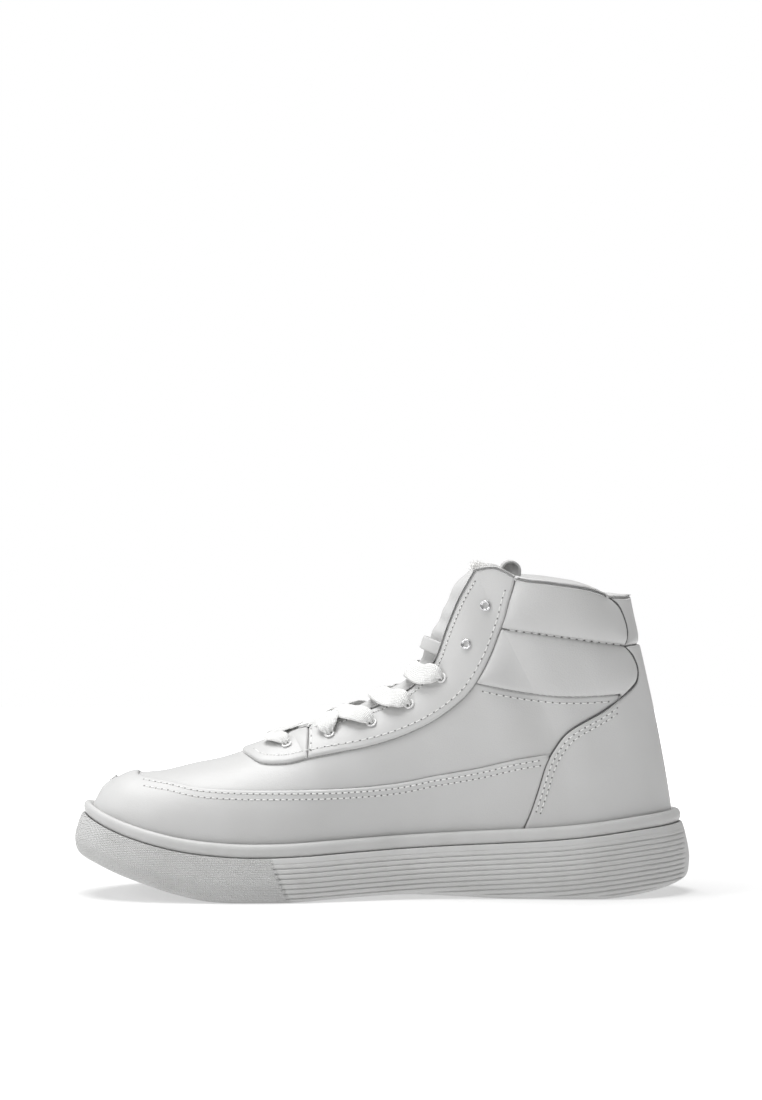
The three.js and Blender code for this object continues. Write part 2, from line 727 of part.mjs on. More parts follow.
for (const [side, label] of [['inner', 'medial'], ['outer', 'lateral']]) {
  add(`eyestay_${label}`, drilled(overlay.intersect(prism(facingOutline, side)), side), 'leather');
  const pads = prism(padsOutline, side);
  const cover = padCover.intersect(pads);
  add(`collar_upper_${label}`, cover.intersect(prism(upperOutline)), 'leather');
  add(`collar_lower_${label}`, cover.intersect(prism(lowerOutline)), 'leather');
  add(`collar_foam_${label}`, padFoam.intersect(pads), 'foam');
}
add('heel_collar', padCover.intersect(prism(heelCollarOutline)), 'leather');
add('heel_collar_foam', padFoam.intersect(prism(heelCollarOutline)), 'foam');

const puffEnd = -96 * kx;
const puffOutline = [
  new THREE.Vector2(ahead, below), new THREE.Vector2(puffEnd, below), new THREE.Vector2(puffEnd, above),
  new THREE.Vector2(ahead, above),
];
add('toe_puff', stiff.intersect(prism(puffOutline)), 'stiffener');
const counterOutline = [corner(84, -20), corner(90, 84), corner(170, 90), backBelow];
add('heel_counter', stiff.intersect(prism(counterOutline)), 'stiffener');

const liningSplit = -52 * kx;
const foreOutline = [
  new THREE.Vector2(ahead, below), new THREE.Vector2(liningSplit - gap, below),
  new THREE.Vector2(liningSplit - gap, above), new THREE.Vector2(ahead, above),
];
add('forefoot_lining', lining.intersect(prism(foreOutline)), 'lining');
const quarterOutline = [
  new THREE.Vector2(liningSplit, below), backBelow, new THREE.Vector2(behind, above),
  new THREE.Vector2(liningSplit, above),
];
for (const [side, label] of [['inner', 'medial'], ['outer', 'lateral']]) {
  add(`quarter_lining_${label}`, drilled(lining.intersect(prism(quarterOutline, side)), side), 'lining');
}

// ---------------------------------------------------------------- eyelets
const sideLabel = { inner: 'medial', outer: 'lateral' };
for (const eyelet of eyelets) {
  const finish = eyelet.row < lacedRows ? 'enamel' : 'steel';
  add(`eyelet_${sideLabel[eyelet.side]}_${eyelet.row + 1}`, eyeletGeometry(eyelet), finish);
}

// ---------------------------------------------------------------- tongue
// Middle line of the tongue's face, from its seam at the bottom of the throat to its top.
const tongueMiddle = new Track(smoothPoints(trackPoints([
  [-40, 0, 72], [-36, 0, 76.5], [-30, 0, 81.5], [-16.6, 0, 88.5], [0, 0, 96.5], [12, 0, 104],
  [18.7, 0, 113], [23.2, 0, 124], [28.5, 0, 134.5], [32, 0, 143], [36.5, 0, 151.5], [44, 0, 159],
])));
const tongueStart = 0.1; // shares of the throat
const tongueEnd = 1;
const tongueReach = 0.8; // height share on the shoe at which the tongue's edge lies
const tongueColumns = 12;
const tongueRows = 12;

function underFacing(side, around, height, offset) {
  return pointOn(side, around, height).addScaledVector(normalOn(side, around, height), offset);
}

function tonguePoint(along, across) {
  const share = THREE.MathUtils.lerp(tongueStart, tongueEnd, along);
  const around = THREE.MathUtils.lerp(throatStart, throatEnd, share);
  const side = (name) => [tongueReach, 0.9, 1].map(
    (height) => underFacing(name, around, height, tongueTopOffset),
  );
  const middle = tongueMiddle.at(along);
  const curve = new THREE.CatmullRomCurve3([...side('inner'), middle, ...side('outer').reverse()]);
  return curve.getPoint(across);
}

function tongueSheet(fromAlong, toAlong, fromAcross, toAcross, rows, columns) {
  const quads = [];
  const grid = [];
  for (let i = 0; i <= rows; i += 1) {
    const along = THREE.MathUtils.lerp(fromAlong, toAlong, i / rows);
    grid.push([]);
    for (let j = 0; j <= columns; j += 1) {
      grid[i].push(tonguePoint(along, THREE.MathUtils.lerp(fromAcross, toAcross, j / columns)));
    }
  }
  for (let i = 0; i < rows; i += 1) {
    for (let j = 0; j < columns; j += 1) {
      quads.push([grid[i][j], grid[i][j + 1], grid[i + 1][j + 1], grid[i + 1][j]].reverse());
    }
  }
  return weldedSheet(quads);
}

const tongue = tongueSheet(0, 1, 0, 1, tongueRows, tongueColumns);
add('tongue_face', thicken(tongue, -leather, 0), 'leather');
const tongueFoamTop = -leather - gap;
const tongueFoamFoot = tongueFoamTop - tongueFoam;
add('tongue_foam', thicken(tongue, tongueFoamFoot, tongueFoamTop), 'foam');
add('tongue_lining', thicken(tongue, tongueFoamFoot - gap - liningPile, tongueFoamFoot - gap), 'lining');

// ---------------------------------------------------------------- pull tab and lace keeper
// The pull tab is a strap folded into a loop behind the tongue's top.
const tabFoot = [61.5 * kx, 151 * kz];
const tabLoop = new THREE.Shape();
const tabRadius = 5.2;
const tabLeg = 6;
tabLoop.moveTo(-tabRadius, 0);
tabLoop.lineTo(-tabRadius, tabLeg);
tabLoop.absarc(0, tabLeg, tabRadius, Math.PI, 0, true);
tabLoop.lineTo(tabRadius, 0);
tabLoop.lineTo(tabRadius - pullTabThickness, 0);
tabLoop.lineTo(tabRadius - pullTabThickness, tabLeg);
tabLoop.absarc(0, tabLeg, tabRadius - pullTabThickness, 0, Math.PI, false);
tabLoop.lineTo(-tabRadius + pullTabThickness, 0);
const tabGeometry = new THREE.ExtrudeGeometry(tabLoop, {
  depth: pullTabWidth, bevelEnabled: false, curveSegments: 10,
});
tabGeometry.rotateX(Math.PI / 2).translate(0, pullTabWidth / 2, 0).rotateY(0.12);
add('pull_tab', tabGeometry.translate(tabFoot[0], 0, tabFoot[1]), 'leather');

const keeperAlong = [0.615, 0.68];
const keeperReach = [0.36, 0.64];
const keeperRoom = 2.2;
const keeperThickness = 1.3;
const keeperBand = tongueSheet(...keeperAlong, ...keeperReach, 2, 6);
const keeperSlot = tongueSheet(keeperAlong[0] - 0.05, keeperAlong[1] + 0.05, 0.39, 0.61, 3, 6);
const keeper = thicken(keeperBand, gap * 2, gap + keeperRoom + keeperThickness)
  .subtract(thicken(keeperSlot, -1, gap + keeperRoom));
add('lace_keeper', keeper, 'leather');

// ---------------------------------------------------------------- lace
function tongueNormal(along, across) {
  const step = 0.01;
  const ahead = tonguePoint(along + step, across).sub(tonguePoint(along - step, across));
  return ahead.cross(tonguePoint(along, across + step).sub(tonguePoint(along, across - step))).normalize();
}

const eyeletAt = (side, row) => eyelets.find((eyelet) => eyelet.side === side && eyelet.row === row);
const offSurface = ({ point, normal }, offset) => point.clone().addScaledVector(normal, offset);
const otherSide = { inner: 'outer', outer: 'inner' };
const edgeLead = 4; // the strand is already above the facing this far inside its edge
const strandRise = { inner: laceDiameter * 0.5 + 0.7, outer: laceDiameter * 1.5 + 1.1 };

// From the underside of one eyelet, out at the throat edge, over the tongue and down into the next row.
function lacePass(side, row) {
  const from = eyeletAt(side, row);
  const to = eyeletAt(otherSide[side], row + 1);
  const throatOpen = THREE.MathUtils.lerp(throatStart, throatEnd, 0.2);
  const leaving = Math.max(throatOpen, THREE.MathUtils.lerp(from.around, to.around, 0.45));
  const arriving = Math.max(throatOpen, THREE.MathUtils.lerp(from.around, to.around, 0.85));
  const crossing = THREE.MathUtils.lerp(from.around, to.around, 0.6);
  const share = (crossing - throatStart) / (throatEnd - throatStart);
  const along = Math.max(0.07, (share - tongueStart) / (tongueEnd - tongueStart));
  const rise = strandRise[side];
  const acrossOf = (across) => (side === 'inner' ? across : 1 - across);
  const onTongue = (across, height) => tonguePoint(along, acrossOf(across)).addScaledVector(
    tongueNormal(along, acrossOf(across)), height,
  );
  const overEdge = underFacing(otherSide[side], arriving, 1, laceOver + 1.2);
  return [
    offSurface(from, laceUnder),
    underFacing(side, leaving, (from.height + 1) / 2, laceUnder + 0.5),
    underFacing(side, leaving, 1, laceUnder),
    onTongue(0.38, laceDiameter / 2 + 0.8),
    onTongue(0.5, rise),
    overEdge.clone().add(new THREE.Vector3(0, -sideSign[otherSide[side]] * edgeLead, 0)),
    overEdge,
    offSurface(to, laceOver + 0.6),
    offSurface(to, overlayHigh),
    offSurface(to, liningHigh),
  ];
}

function laceTail(side) {
  const rows = [4, 3, 2, 1];
  return rows.map((row, i) => {
    const { around, height } = eyeletAt(side, row);
    return underFacing(side, around - (i ? 0.01 : 0.02), height - 0.075, laceUnder);
  });
}

function strand(start) {
  const points = [];
  let side = start;
  for (let row = 0; row < lacedRows - 1; row += 1) {
    points.push(...lacePass(side, row));
    side = otherSide[side];
  }
  points.push(offSurface(eyeletAt(side, lacedRows - 1), laceUnder));
  return { points, tail: laceTail(side), side };
}

const strands = { inner: strand('inner'), outer: strand('outer') };
const intoFirst = (side) => {
  const first = eyeletAt(side, 0);
  return [
    underFacing(side, first.around, (first.height + 1) / 2, laceOver),
    offSurface(first, laceOver + 0.6), offSurface(first, overlayHigh), offSurface(first, liningHigh),
  ];
};
const barMiddle = topPoint('inner', throatStart).add(new THREE.Vector3(1, 0, laceOver + 0.6));
const ends = {};
for (const side of ['inner', 'outer']) {
  const { tail } = strands[side];
  const end = tail.at(-1).clone();
  const along = tail.at(-2).clone().sub(end).normalize();
  ends[side] = { end, along };
}
const halfLace = (side) => {
  const { points, tail } = strands[side];
  const { end, along } = ends[side];
  const last = end.clone().addScaledVector(along, agletLength + gap);
  return [...intoFirst(side), ...points, ...tail.slice(0, -1), last];
};
const laceRoute = new THREE.CatmullRomCurve3(
  [...halfLace('inner').reverse(), barMiddle, ...halfLace('outer')], false, 'centripetal',
);
const stepsPerSpan = 2;
laceRoute.getPointAt = laceRoute.getPoint; // steps go by the route's own points, closer in the eyelets
laceRoute.getTangentAt = laceRoute.getTangent;
const laceSection = new THREE.Shape().absarc(0, 0, laceDiameter / 2, 0, Math.PI * 2, false);
add('lace', new THREE.ExtrudeGeometry(laceSection, {
  steps: (laceRoute.points.length - 1) * stepsPerSpan, extrudePath: laceRoute, curveSegments: 3,
}), 'lace');

for (const side of ['inner', 'outer']) {
  const { end, along } = ends[side];
  const aglet = new THREE.CylinderGeometry(agletDiameter / 2, agletDiameter / 2, agletLength, 8)
    .rotateX(Math.PI / 2);
  const middle = end.clone().addScaledVector(along, agletLength / 2);
  add(`aglet_${sideLabel[strands[side].side]}`, turnTo(aglet, along, middle), 'plastic');
}

export default shoe;
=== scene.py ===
"""White fur-lined leather high-top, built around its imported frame. Metres, toe towards -X, heel +X, +Z up."""
import math
import bpy
import numpy as np
from mathutils import Matrix, Vector


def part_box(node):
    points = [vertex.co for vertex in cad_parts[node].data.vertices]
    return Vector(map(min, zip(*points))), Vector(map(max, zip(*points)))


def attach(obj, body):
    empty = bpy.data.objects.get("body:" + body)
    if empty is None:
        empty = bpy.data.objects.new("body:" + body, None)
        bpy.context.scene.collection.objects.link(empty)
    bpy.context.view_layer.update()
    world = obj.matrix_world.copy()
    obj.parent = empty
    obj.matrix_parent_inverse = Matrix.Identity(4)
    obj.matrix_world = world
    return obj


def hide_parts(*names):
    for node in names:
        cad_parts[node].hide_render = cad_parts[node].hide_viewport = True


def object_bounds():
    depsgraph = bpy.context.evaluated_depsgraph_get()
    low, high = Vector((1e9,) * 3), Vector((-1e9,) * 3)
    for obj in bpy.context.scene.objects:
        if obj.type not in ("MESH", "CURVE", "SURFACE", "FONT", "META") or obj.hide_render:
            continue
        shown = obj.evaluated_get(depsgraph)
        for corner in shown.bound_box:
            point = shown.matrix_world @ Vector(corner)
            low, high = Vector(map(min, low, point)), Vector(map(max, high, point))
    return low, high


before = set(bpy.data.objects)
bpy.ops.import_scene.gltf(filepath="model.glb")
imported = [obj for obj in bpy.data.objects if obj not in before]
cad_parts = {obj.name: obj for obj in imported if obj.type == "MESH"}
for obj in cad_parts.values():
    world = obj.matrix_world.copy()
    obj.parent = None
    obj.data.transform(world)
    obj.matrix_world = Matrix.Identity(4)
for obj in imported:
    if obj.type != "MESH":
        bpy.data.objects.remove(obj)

cad_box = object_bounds()
cad_low, cad_high = cad_box
rng = np.random.default_rng(7)

# ---------------------------------------------------------------- the design's own sizes, metres
MM = 0.001
scale_x = (cad_high.x - cad_low.x) / 0.3
scale_y = (cad_high.y - cad_low.y) / 0.107
scale_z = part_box("vamp")[1].z / 0.157
feather_inset = 10.5 * MM
skirt_depth = 8.5 * MM
bead_height = 7 * MM


def elevation(pairs):
    """Side-elevation points, x and z, in metres."""
    return np.array(pairs, float) * MM * [scale_x, scale_z]


# ---------------------------------------------------------------- camera, light and floor
WORLD_LIGHT = 0.24
LAMPS = (("top", (-0.3, 0.1, 1.9), 1.4, 42), ("toe", (-1.9, -0.7, 1.3), 1.0, 15))
LAMP_TARGET = Vector((0, 0, 0.07))
CAMERA_AIM = Vector((-0.001, 0, 0.1669))
CAMERA_DISTANCE = 1.62
CAMERA_TILT = math.radians(1.2)
CAMERA_LENS = 108.4
FLOOR_SIZE = 2.6
# the floor's own light: from this radius, to this one, how strong near the shoe and how strong far away
FLOOR_FADE = (("From Min", 0.16), ("From Max", 0.75), ("To Min", 0.46), ("To Max", 1.3))


def make_stage():
    middle = (cad_low + cad_high) / 2
    data = bpy.data.cameras.new("camera")
    data.lens = CAMERA_LENS
    data.clip_start = 0.05
    camera = bpy.data.objects.new("camera", data)
    bpy.context.collection.objects.link(camera)
    back = Vector((0, -math.cos(CAMERA_TILT), math.sin(CAMERA_TILT)))
    camera.location = CAMERA_AIM + back * CAMERA_DISTANCE
    camera.rotation_euler = (math.pi / 2 - CAMERA_TILT, 0, 0)
    bpy.context.scene.camera = camera

    bpy.ops.object.select_all(action="DESELECT")
    bpy.ops.mesh.primitive_plane_add(size=FLOOR_SIZE, location=(middle.x, middle.y, 0))
    floor = bpy.context.object
    floor.name = "floor"
    paint = bpy.data.materials.new("floor_painted_glow")
    paint.use_nodes = True
    shader = paint.node_tree.nodes["Principled BSDF"]
    shader.inputs["Base Color"].default_value = (0.5, 0.5, 0.5, 1)
    shader.inputs["Roughness"].default_value = 0.9
    shader.inputs["Specular IOR Level"].default_value = 0.1
    # the floor glows with painted light, weaker near the shoe so that its real shadow shows, and stronger away
    # from it, so that it runs into the white behind it
    nodes = paint.node_tree.nodes
    place = nodes.new("ShaderNodeTexCoord")
    away = nodes.new("ShaderNodeVectorMath")
    away.operation = "LENGTH"
    fade = nodes.new("ShaderNodeMapRange")
    fade.interpolation_type = "SMOOTHSTEP"
    for socket, value in FLOOR_FADE:
        fade.inputs[socket].default_value = value
    paint.node_tree.links.new(place.outputs["Object"], away.inputs[0])
    paint.node_tree.links.new(away.outputs["Value"], fade.inputs["Value"])
    paint.node_tree.links.new(fade.outputs["Result"], shader.inputs["Emission Color"])
    shader.inputs["Emission Strength"].default_value = 1
    floor.data.materials.append(paint)

    world = bpy.data.worlds.new("studio")
    world.use_nodes = True
    tree = world.node_tree
    soft = tree.nodes["Background"]
    soft.inputs["Color"].default_value = (1, 1, 1, 1)
    soft.inputs["Strength"].default_value = WORLD_LIGHT
    paper = tree.nodes.new("ShaderNodeBackground")
    paper.inputs["Color"].default_value = (1, 1, 1, 1)
    seen = tree.nodes.new("ShaderNodeLightPath")
    either = tree.nodes.new("ShaderNodeMixShader")
    tree.links.new(seen.outputs["Is Camera Ray"], either.inputs[0])
    tree.links.new(soft.outputs[0], either.inputs[1])
    tree.links.new(paper.outputs[0], either.inputs[2])
    tree.links.new(either.outputs[0], tree.nodes["World Output"].inputs["Surface"])
    bpy.context.scene.world = world

    for name, place, size, power in LAMPS:
        light = bpy.data.lights.new(name, "AREA")
        light.size = size
        light.energy = power
        lamp = bpy.data.objects.new(name, light)
        lamp.location = place
        aim_at = LAMP_TARGET - Vector(place)
        lamp.rotation_euler = aim_at.to_track_quat("-Z", "Y").to_euler()
        bpy.context.collection.objects.link(lamp)

    view = bpy.context.scene.view_settings
    view.view_transform = "Standard"
    view.look = "None"
    view.exposure = 0


make_stage()


# ---------------------------------------------------------------- smooth tracks
def smooth_points(points, closed=False, per_span=16):
    """Centripetal Catmull-Rom through the points."""
    points = np.asarray(points, float)
    count = len(points)
    spans = count if closed else count - 1
    result = []
    for k in range(spans):
        p1, p2 = points[k], points[(k + 1) % count]
        p0 = points[(k - 1) % count] if closed or k > 0 else 2 * p1 - p2
        p3 = points[(k + 2) % count] if closed or k + 2 < count else 2 * p2 - p1
        t0, t1, t2 = (max(np.linalg.norm(b - a) ** 0.5, 1e-6) for a, b in ((p0, p1), (p1, p2), (p2, p3)))
        m1 = (p1 - p0) / t0 - (p2 - p0) / (t0 + t1) + (p2 - p1) / t1
        m2 = (p2 - p1) / t1 - (p3 - p1) / (t1 + t2) + (p3 - p2) / t2
        m1, m2 = m1 * t1, m2 * t1
        t = np.linspace(0, 1, per_span, endpoint=False)[:, None]
        result.append(
            p1 + m1 * t + (-3 * p1 + 3 * p2 - 2 * m1 - m2) * t**2 + (2 * p1 - 2 * p2 + m1 + m2) * t**3
        )
    result = np.concatenate(result)
    return np.vstack([result, points[0] if closed else points[-1]])


class Track:
    """A curve walked by the share of its length."""

    def __init__(self, points):
        self.points = np.asarray(points, float)
        steps = np.linalg.norm(np.diff(self.points, axis=0), axis=1)
        self.lengths = np.concatenate([[0], np.cumsum(steps)])
        self.length = self.lengths[-1]

    def at(self, share):
        along = np.clip(share, 0, 1) * self.length
        return np.stack([np.interp(along, self.lengths, self.points[:, k]) for k in range(3)], -1)

    def direction(self, share):
        ahead = self.at(np.asarray(share) + 0.004) - self.at(np.asarray(share) - 0.004)
        return ahead / np.linalg.norm(ahead, axis=-1, keepdims=True)


def unit(vectors):
    return vectors / np.maximum(np.linalg.norm(vectors, axis=-1, keepdims=True), 1e-12)


def height_line(pairs):
    flat = elevation(pairs)
    dense = smooth_points(np.column_stack([flat[:, 0], flat[:, 0] * 0, flat[:, 1]]))
    return lambda x: np.interp(x, dense[:, 0], dense[:, 2])


bottom_curve = height_line([
    (-150, 23.3), (-144, 19.5), (-137, 16.7), (-127, 12.6), (-114, 8.3), (-102, 4.6), (-85, 0.9), (-72, 0),
    (-45, 0), (-20, 1.2), (10, 2.2), (35, 1.2), (60, 0), (105, 0), (118, 1.2), (133, 3.6), (144, 6),
    (150, 8.4),
])


def bottom_line(x):
    return np.maximum(0, bottom_curve(x))


lip_line = height_line([
    (-150, 41), (-144, 38.5), (-132, 33.2), (-120, 29), (-98, 23.7), (-75, 21.2), (-52, 20.8), (-8, 22.7),
    (20, 24.2), (87, 28), (127, 32.6), (150, 34.3),
])


def feather_line(x):
    return lip_line(x) + bead_height * scale_z


# ---------------------------------------------------------------- plan outline and top line
toe_tip = (-150, -8)
inner_side = [
    (-146.5, -23), (-138, -34.5), (-120, -45), (-95, -51), (-65, -53.5), (-40, -51), (-15, -43), (10, -36.5),
    (35, -35), (60, -36), (85, -38), (110, -37), (130, -30), (143, -18),
]
heel_end = (150, 0)
outer_side = [
    (143.5, 18), (131, 30), (112, 37.5), (88, 41), (60, 44.5), (30, 48.5), (0, 52), (-30, 53.5), (-55, 52.5),
    (-80, 48), (-105, 40), (-127, 28.5), (-141, 14), (-147.5, 3),
]
PER_SPAN = 16
corners = np.array([toe_tip, *inner_side, heel_end, *outer_side], float) * MM * [scale_x, scale_y]
outline_points = smooth_points(np.column_stack([corners, corners[:, 0] * 0]), True, PER_SPAN)
heel_index = (len(inner_side) + 1) * PER_SPAN
outline = {"inner": Track(outline_points[:heel_index + 1]), "outer": Track(outline_points[heel_index:][::-1])}
side_sign = {"inner": -1.0, "outer": 1.0}


def plan_normal(side, share):
    along = outline[side].direction(share)
    normal = np.stack([-along[..., 1], along[..., 0], along[..., 0] * 0], -1) * side_sign[side]
    normal[share <= 0] = (-1, 0, 0)
    normal[share >= 1] = (1, 0, 0)
    return normal


def plan_point(side, share, offset):
    return outline[side].at(share) + plan_normal(side, share) * (offset - feather_inset)[..., None]


def scaled(points, sign=1.0):
    return np.array(points, float) * MM * [scale_x, sign * scale_y, scale_z]


ridge = Track(smooth_points(scaled([
    (-131, -6, 54), (-122, -5, 57.8), (-106, -3.5, 59.7), (-91.6, -2, 63), (-79.6, -1, 65.3),
    (-69, -0.5, 68.6), (-58, 0, 72.4), (-48, 0, 76.5),
])))
throat_points = [
    (-48, 0, 76.5), (-43.5, 4.6, 77.6), (-37, 9.2, 79.3), (-28, 12.8, 81.6), (-18, 14.8, 84.6),
    (-2, 16.5, 90), (15, 17.5, 99.5), (26, 18.5, 112), (32.5, 19.5, 129), (38.5, 20.5, 144), (45.5, 22, 157),
]
collar_points = [
    (45.5, 22, 157), (54, 26, 158), (66, 29.5, 152.5), (80, 31.5, 150.5), (95, 30, 148), (107, 23.5, 144.5),
    (115, 12.5, 143), (118.5, 0, 143),
]
throat = {side: Track(smooth_points(scaled(throat_points, sign))) for side, sign in side_sign.items()}
collar = {side: Track(smooth_points(scaled(collar_points, sign))) for side, sign in side_sign.items()}

# Around the shoe: 0 at the toe, 1 at the heel, with the throat between these two shares.
THROAT_START = 0.36
THROAT_END = 0.72
feather_start = {"inner": 0.415, "outer": 0.405}
feather_end = {"inner": 0.775, "outer": 0.77}


def outline_share(side, around):
    knots = [0, THROAT_START, THROAT_END, 1]
    return np.interp(around, knots, [0, feather_start[side], feather_end[side], 1])


def top_point(side, around):
    result = ridge.at(around / THROAT_START)
    in_throat = (around > THROAT_START) & (around <= THROAT_END)
    on_collar = around > THROAT_END
    throat_share = (around - THROAT_START) / (THROAT_END - THROAT_START)
    collar_share = (around - THROAT_END) / (1 - THROAT_END)
    result[in_throat] = throat[side].at(throat_share[in_throat])
    result[on_collar] = collar[side].at(collar_share[on_collar])
    return result


def feather_point(side, around):
    point = plan_point(side, outline_share(side, around), np.zeros_like(around))
    point[..., 2] = feather_line(point[..., 0])
    return point


# around, lean outwards, lower handle, upper handle, and how the section leaves the top line
section_knots = [
    (0, -0.75, 0.4, 0.5, None), (0.1, -0.1, 0.5, 0.5, None), (0.2, 0.14, 0.55, 0.5, None),
    (THROAT_START, 0.16, 0.5, 0.48, None), (0.44, 0.12, 0.45, 0.42, (0.3, 0.86, -0.35)),
    (0.54, 0.08, 0.42, 0.36, (0.35, 0.75, -0.55)), (0.63, 0.04, 0.38, 0.34, (0.46, 0.62, -0.62)),
    (THROAT_END, 0.02, 0.34, 0.33, (0.36, 0.3, -0.88)), (0.85, -0.02, 0.33, 0.33, (0.12, 0.1, -0.99)),
    (1, -0.13, 0.3, 0.28, (0.24, 0, -0.97)),
]


def ridge_direction(side, share, around):
    along = ridge.direction(np.minimum(share, 0.995))
    away = feather_point(side, around) - ridge.at(share)
    result = along * away[..., :1]
    result[..., 1] += away[..., 1]
    return unit(result)


def knot_direction(side, knot):
    if knot[4] is not None:
        return unit(np.array(knot[4]) * [1, side_sign[side], 1])
    return ridge_direction(side, np.array([1.0]), np.array([THROAT_START]))[0]


def section(side, around):
    """The four Bezier points of each cross section."""
    around = np.asarray(around, float)
    starts = np.array([knot[0] for knot in section_knots])
    index = np.clip(np.searchsorted(starts, around, side="left"), 1, len(starts) - 1)
    low, high = starts[index - 1], starts[index]
    share = np.clip((around - low) / (high - low), 0, 1)
    share = share * share * (3 - 2 * share)
    values = np.array([knot[1:4] for knot in section_knots])
    mixed = values[index - 1] * (1 - share[:, None]) + values[index] * share[:, None]
    lean, low_handle, high_handle = mixed.T
    foot = feather_point(side, around)
    top = top_point(side, around)
    outwards = plan_normal(side, outline_share(side, around))
    rise = (top[:, 2] - foot[:, 2]) * low_handle
    directions = np.array([knot_direction(side, knot) for knot in section_knots])
    direction = unit(directions[index - 1] * (1 - share[:, None]) + directions[index] * share[:, None])
    on_ridge = around <= THROAT_START
    direction[on_ridge] = ridge_direction(side, around[on_ridge] / THROAT_START, around[on_ridge])
    reach = np.linalg.norm(foot - top, axis=1) * high_handle
    foot_handle = foot + outwards * (lean * rise)[:, None]
    foot_handle[:, 2] += rise
    return foot, foot_handle, top + direction * reach[:, None], top


def surface_grid(side, around, height):
    """Points at every pair of the two lists of shares; below height 0 the surface goes down into the cup."""
    foot, foot_handle, top_handle, top = (p[:, None, :] for p in section(side, around))
    h = np.clip(height, 0, 1)[None, :, None]
    rest = 1 - h
    points = foot * rest**3 + foot_handle * 3 * rest**2 * h + top_handle * 3 * rest * h**2 + top * h**3
    points[:, :, 2] += np.minimum(height, 0)[None, :] * skirt_depth
    return points


SKIRT_ROWS = 8


class Surface:
    """One side of the upper, sampled finely, with its normals; shares in between are interpolated."""

    def __init__(self, side):
        self.side = side
        self.around = np.concatenate([
            np.linspace(0, THROAT_START, 160, endpoint=False),
            np.linspace(THROAT_START, THROAT_END, 190, endpoint=False),
            np.linspace(THROAT_END, 1, 130),
        ])
        self.height = np.concatenate([np.linspace(-1, 0, SKIRT_ROWS, endpoint=False), np.linspace(0, 1, 160)])
        self.points = surface_grid(side, self.around, self.height)
        along = np.gradient(self.points, axis=0)
        up = np.gradient(self.points, axis=1)
        up[:, -1] = up[:, -2]
        self.normals = unit(np.cross(along, up) * (1 if side == "inner" else -1))
        self.normals[0, :, 1] = 0
        self.normals[-1, :, 1] = 0
        self.normals = unit(self.normals)

    def _mix(self, table, around, height):
        i = np.interp(around, self.around, np.arange(len(self.around)))
        j = np.interp(height, self.height, np.arange(len(self.height)))
        i0 = np.clip(i.astype(int), 0, len(self.around) - 2)
        j0 = np.clip(j.astype(int), 0, len(self.height) - 2)
        fi, fj = (i - i0)[..., None], (j - j0)[..., None]
        low = table[i0, j0] * (1 - fi) + table[i0 + 1, j0] * fi
        high = table[i0, j0 + 1] * (1 - fi) + table[i0 + 1, j0 + 1] * fi
        return low * (1 - fj) + high * fj

    def at(self, around, height):
        return self._mix(self.points, np.asarray(around, float), np.asarray(height, float))

    def normal(self, around, height):
        return unit(self._mix(self.normals, np.asarray(around, float), np.asarray(height, float)))

    def locate(self, places):
        """Shares at which the surface shows the given x, z places of the side elevation."""
        table = self.points[:, SKIRT_ROWS:, :][:, :, [0, 2]]
        result = []
        for place in places:
            miss = np.linalg.norm(table - place, axis=-1)
            i, j = np.unravel_index(np.argmin(miss), miss.shape)
            here = np.array([self.around[i], self.height[j + SKIRT_ROWS]])
            for _ in range(8):
                step = 0.003
                samples = self.at(
                    np.clip([here[0], here[0] + step, here[0]], 0, 1),
                    np.clip([here[1], here[1], here[1] - step], 0, 1),
                )[:, [0, 2]]
                jacobian = np.column_stack([samples[1] - samples[0], samples[0] - samples[2]]) / step
                if abs(np.linalg.det(jacobian)) < 1e-12:
                    break
                here = np.clip(here + np.linalg.solve(jacobian, place - samples[0]), [0.001, 0], [0.999, 1])
            result.append(here)
        return np.array(result)


surfaces = {side: Surface(side) for side in ("inner", "outer")}
ridge_columns = surfaces["inner"].around <= THROAT_START + 1e-9
shared = unit(surfaces["inner"].normals[ridge_columns, -1] + surfaces["outer"].normals[ridge_columns, -1])
for surface in surfaces.values():
    surface.normals[ridge_columns, -1] = shared


# ---------------------------------------------------------------- shader maths
class Field:
    """A shader value that adds, multiplies and compares like a number."""

    def __init__(self, paint, socket):
        self.paint = paint
        self.socket = socket

    def _math(self, operation, *values):
        return self.paint.node("ShaderNodeMath", {"operation": operation}, dict(enumerate(values)))

    def __add__(self, other):
        return self._math("ADD", self, other)

    def __radd__(self, other):
        return self._math("ADD", other, self)

    def __sub__(self, other):
        return self._math("SUBTRACT", self, other)

    def __rsub__(self, other):
        return self._math("SUBTRACT", other, self)

    def __mul__(self, other):
        return self._math("MULTIPLY", self, other)

    def __rmul__(self, other):
        return self._math("MULTIPLY", other, self)

    def __truediv__(self, other):
        return self._math("DIVIDE", self, other)

    def __pow__(self, other):
        return self._math("POWER", self, other)

    def sine(self):
        return self._math("SINE", self)

    def above(self, low, high):
        """0 below low, 1 above high, smooth between."""
        settings = {"interpolation_type": "SMOOTHSTEP"}
        values = {"Value": self, "From Min": low, "From Max": high}
        return self.paint.node("ShaderNodeMapRange", settings, values)


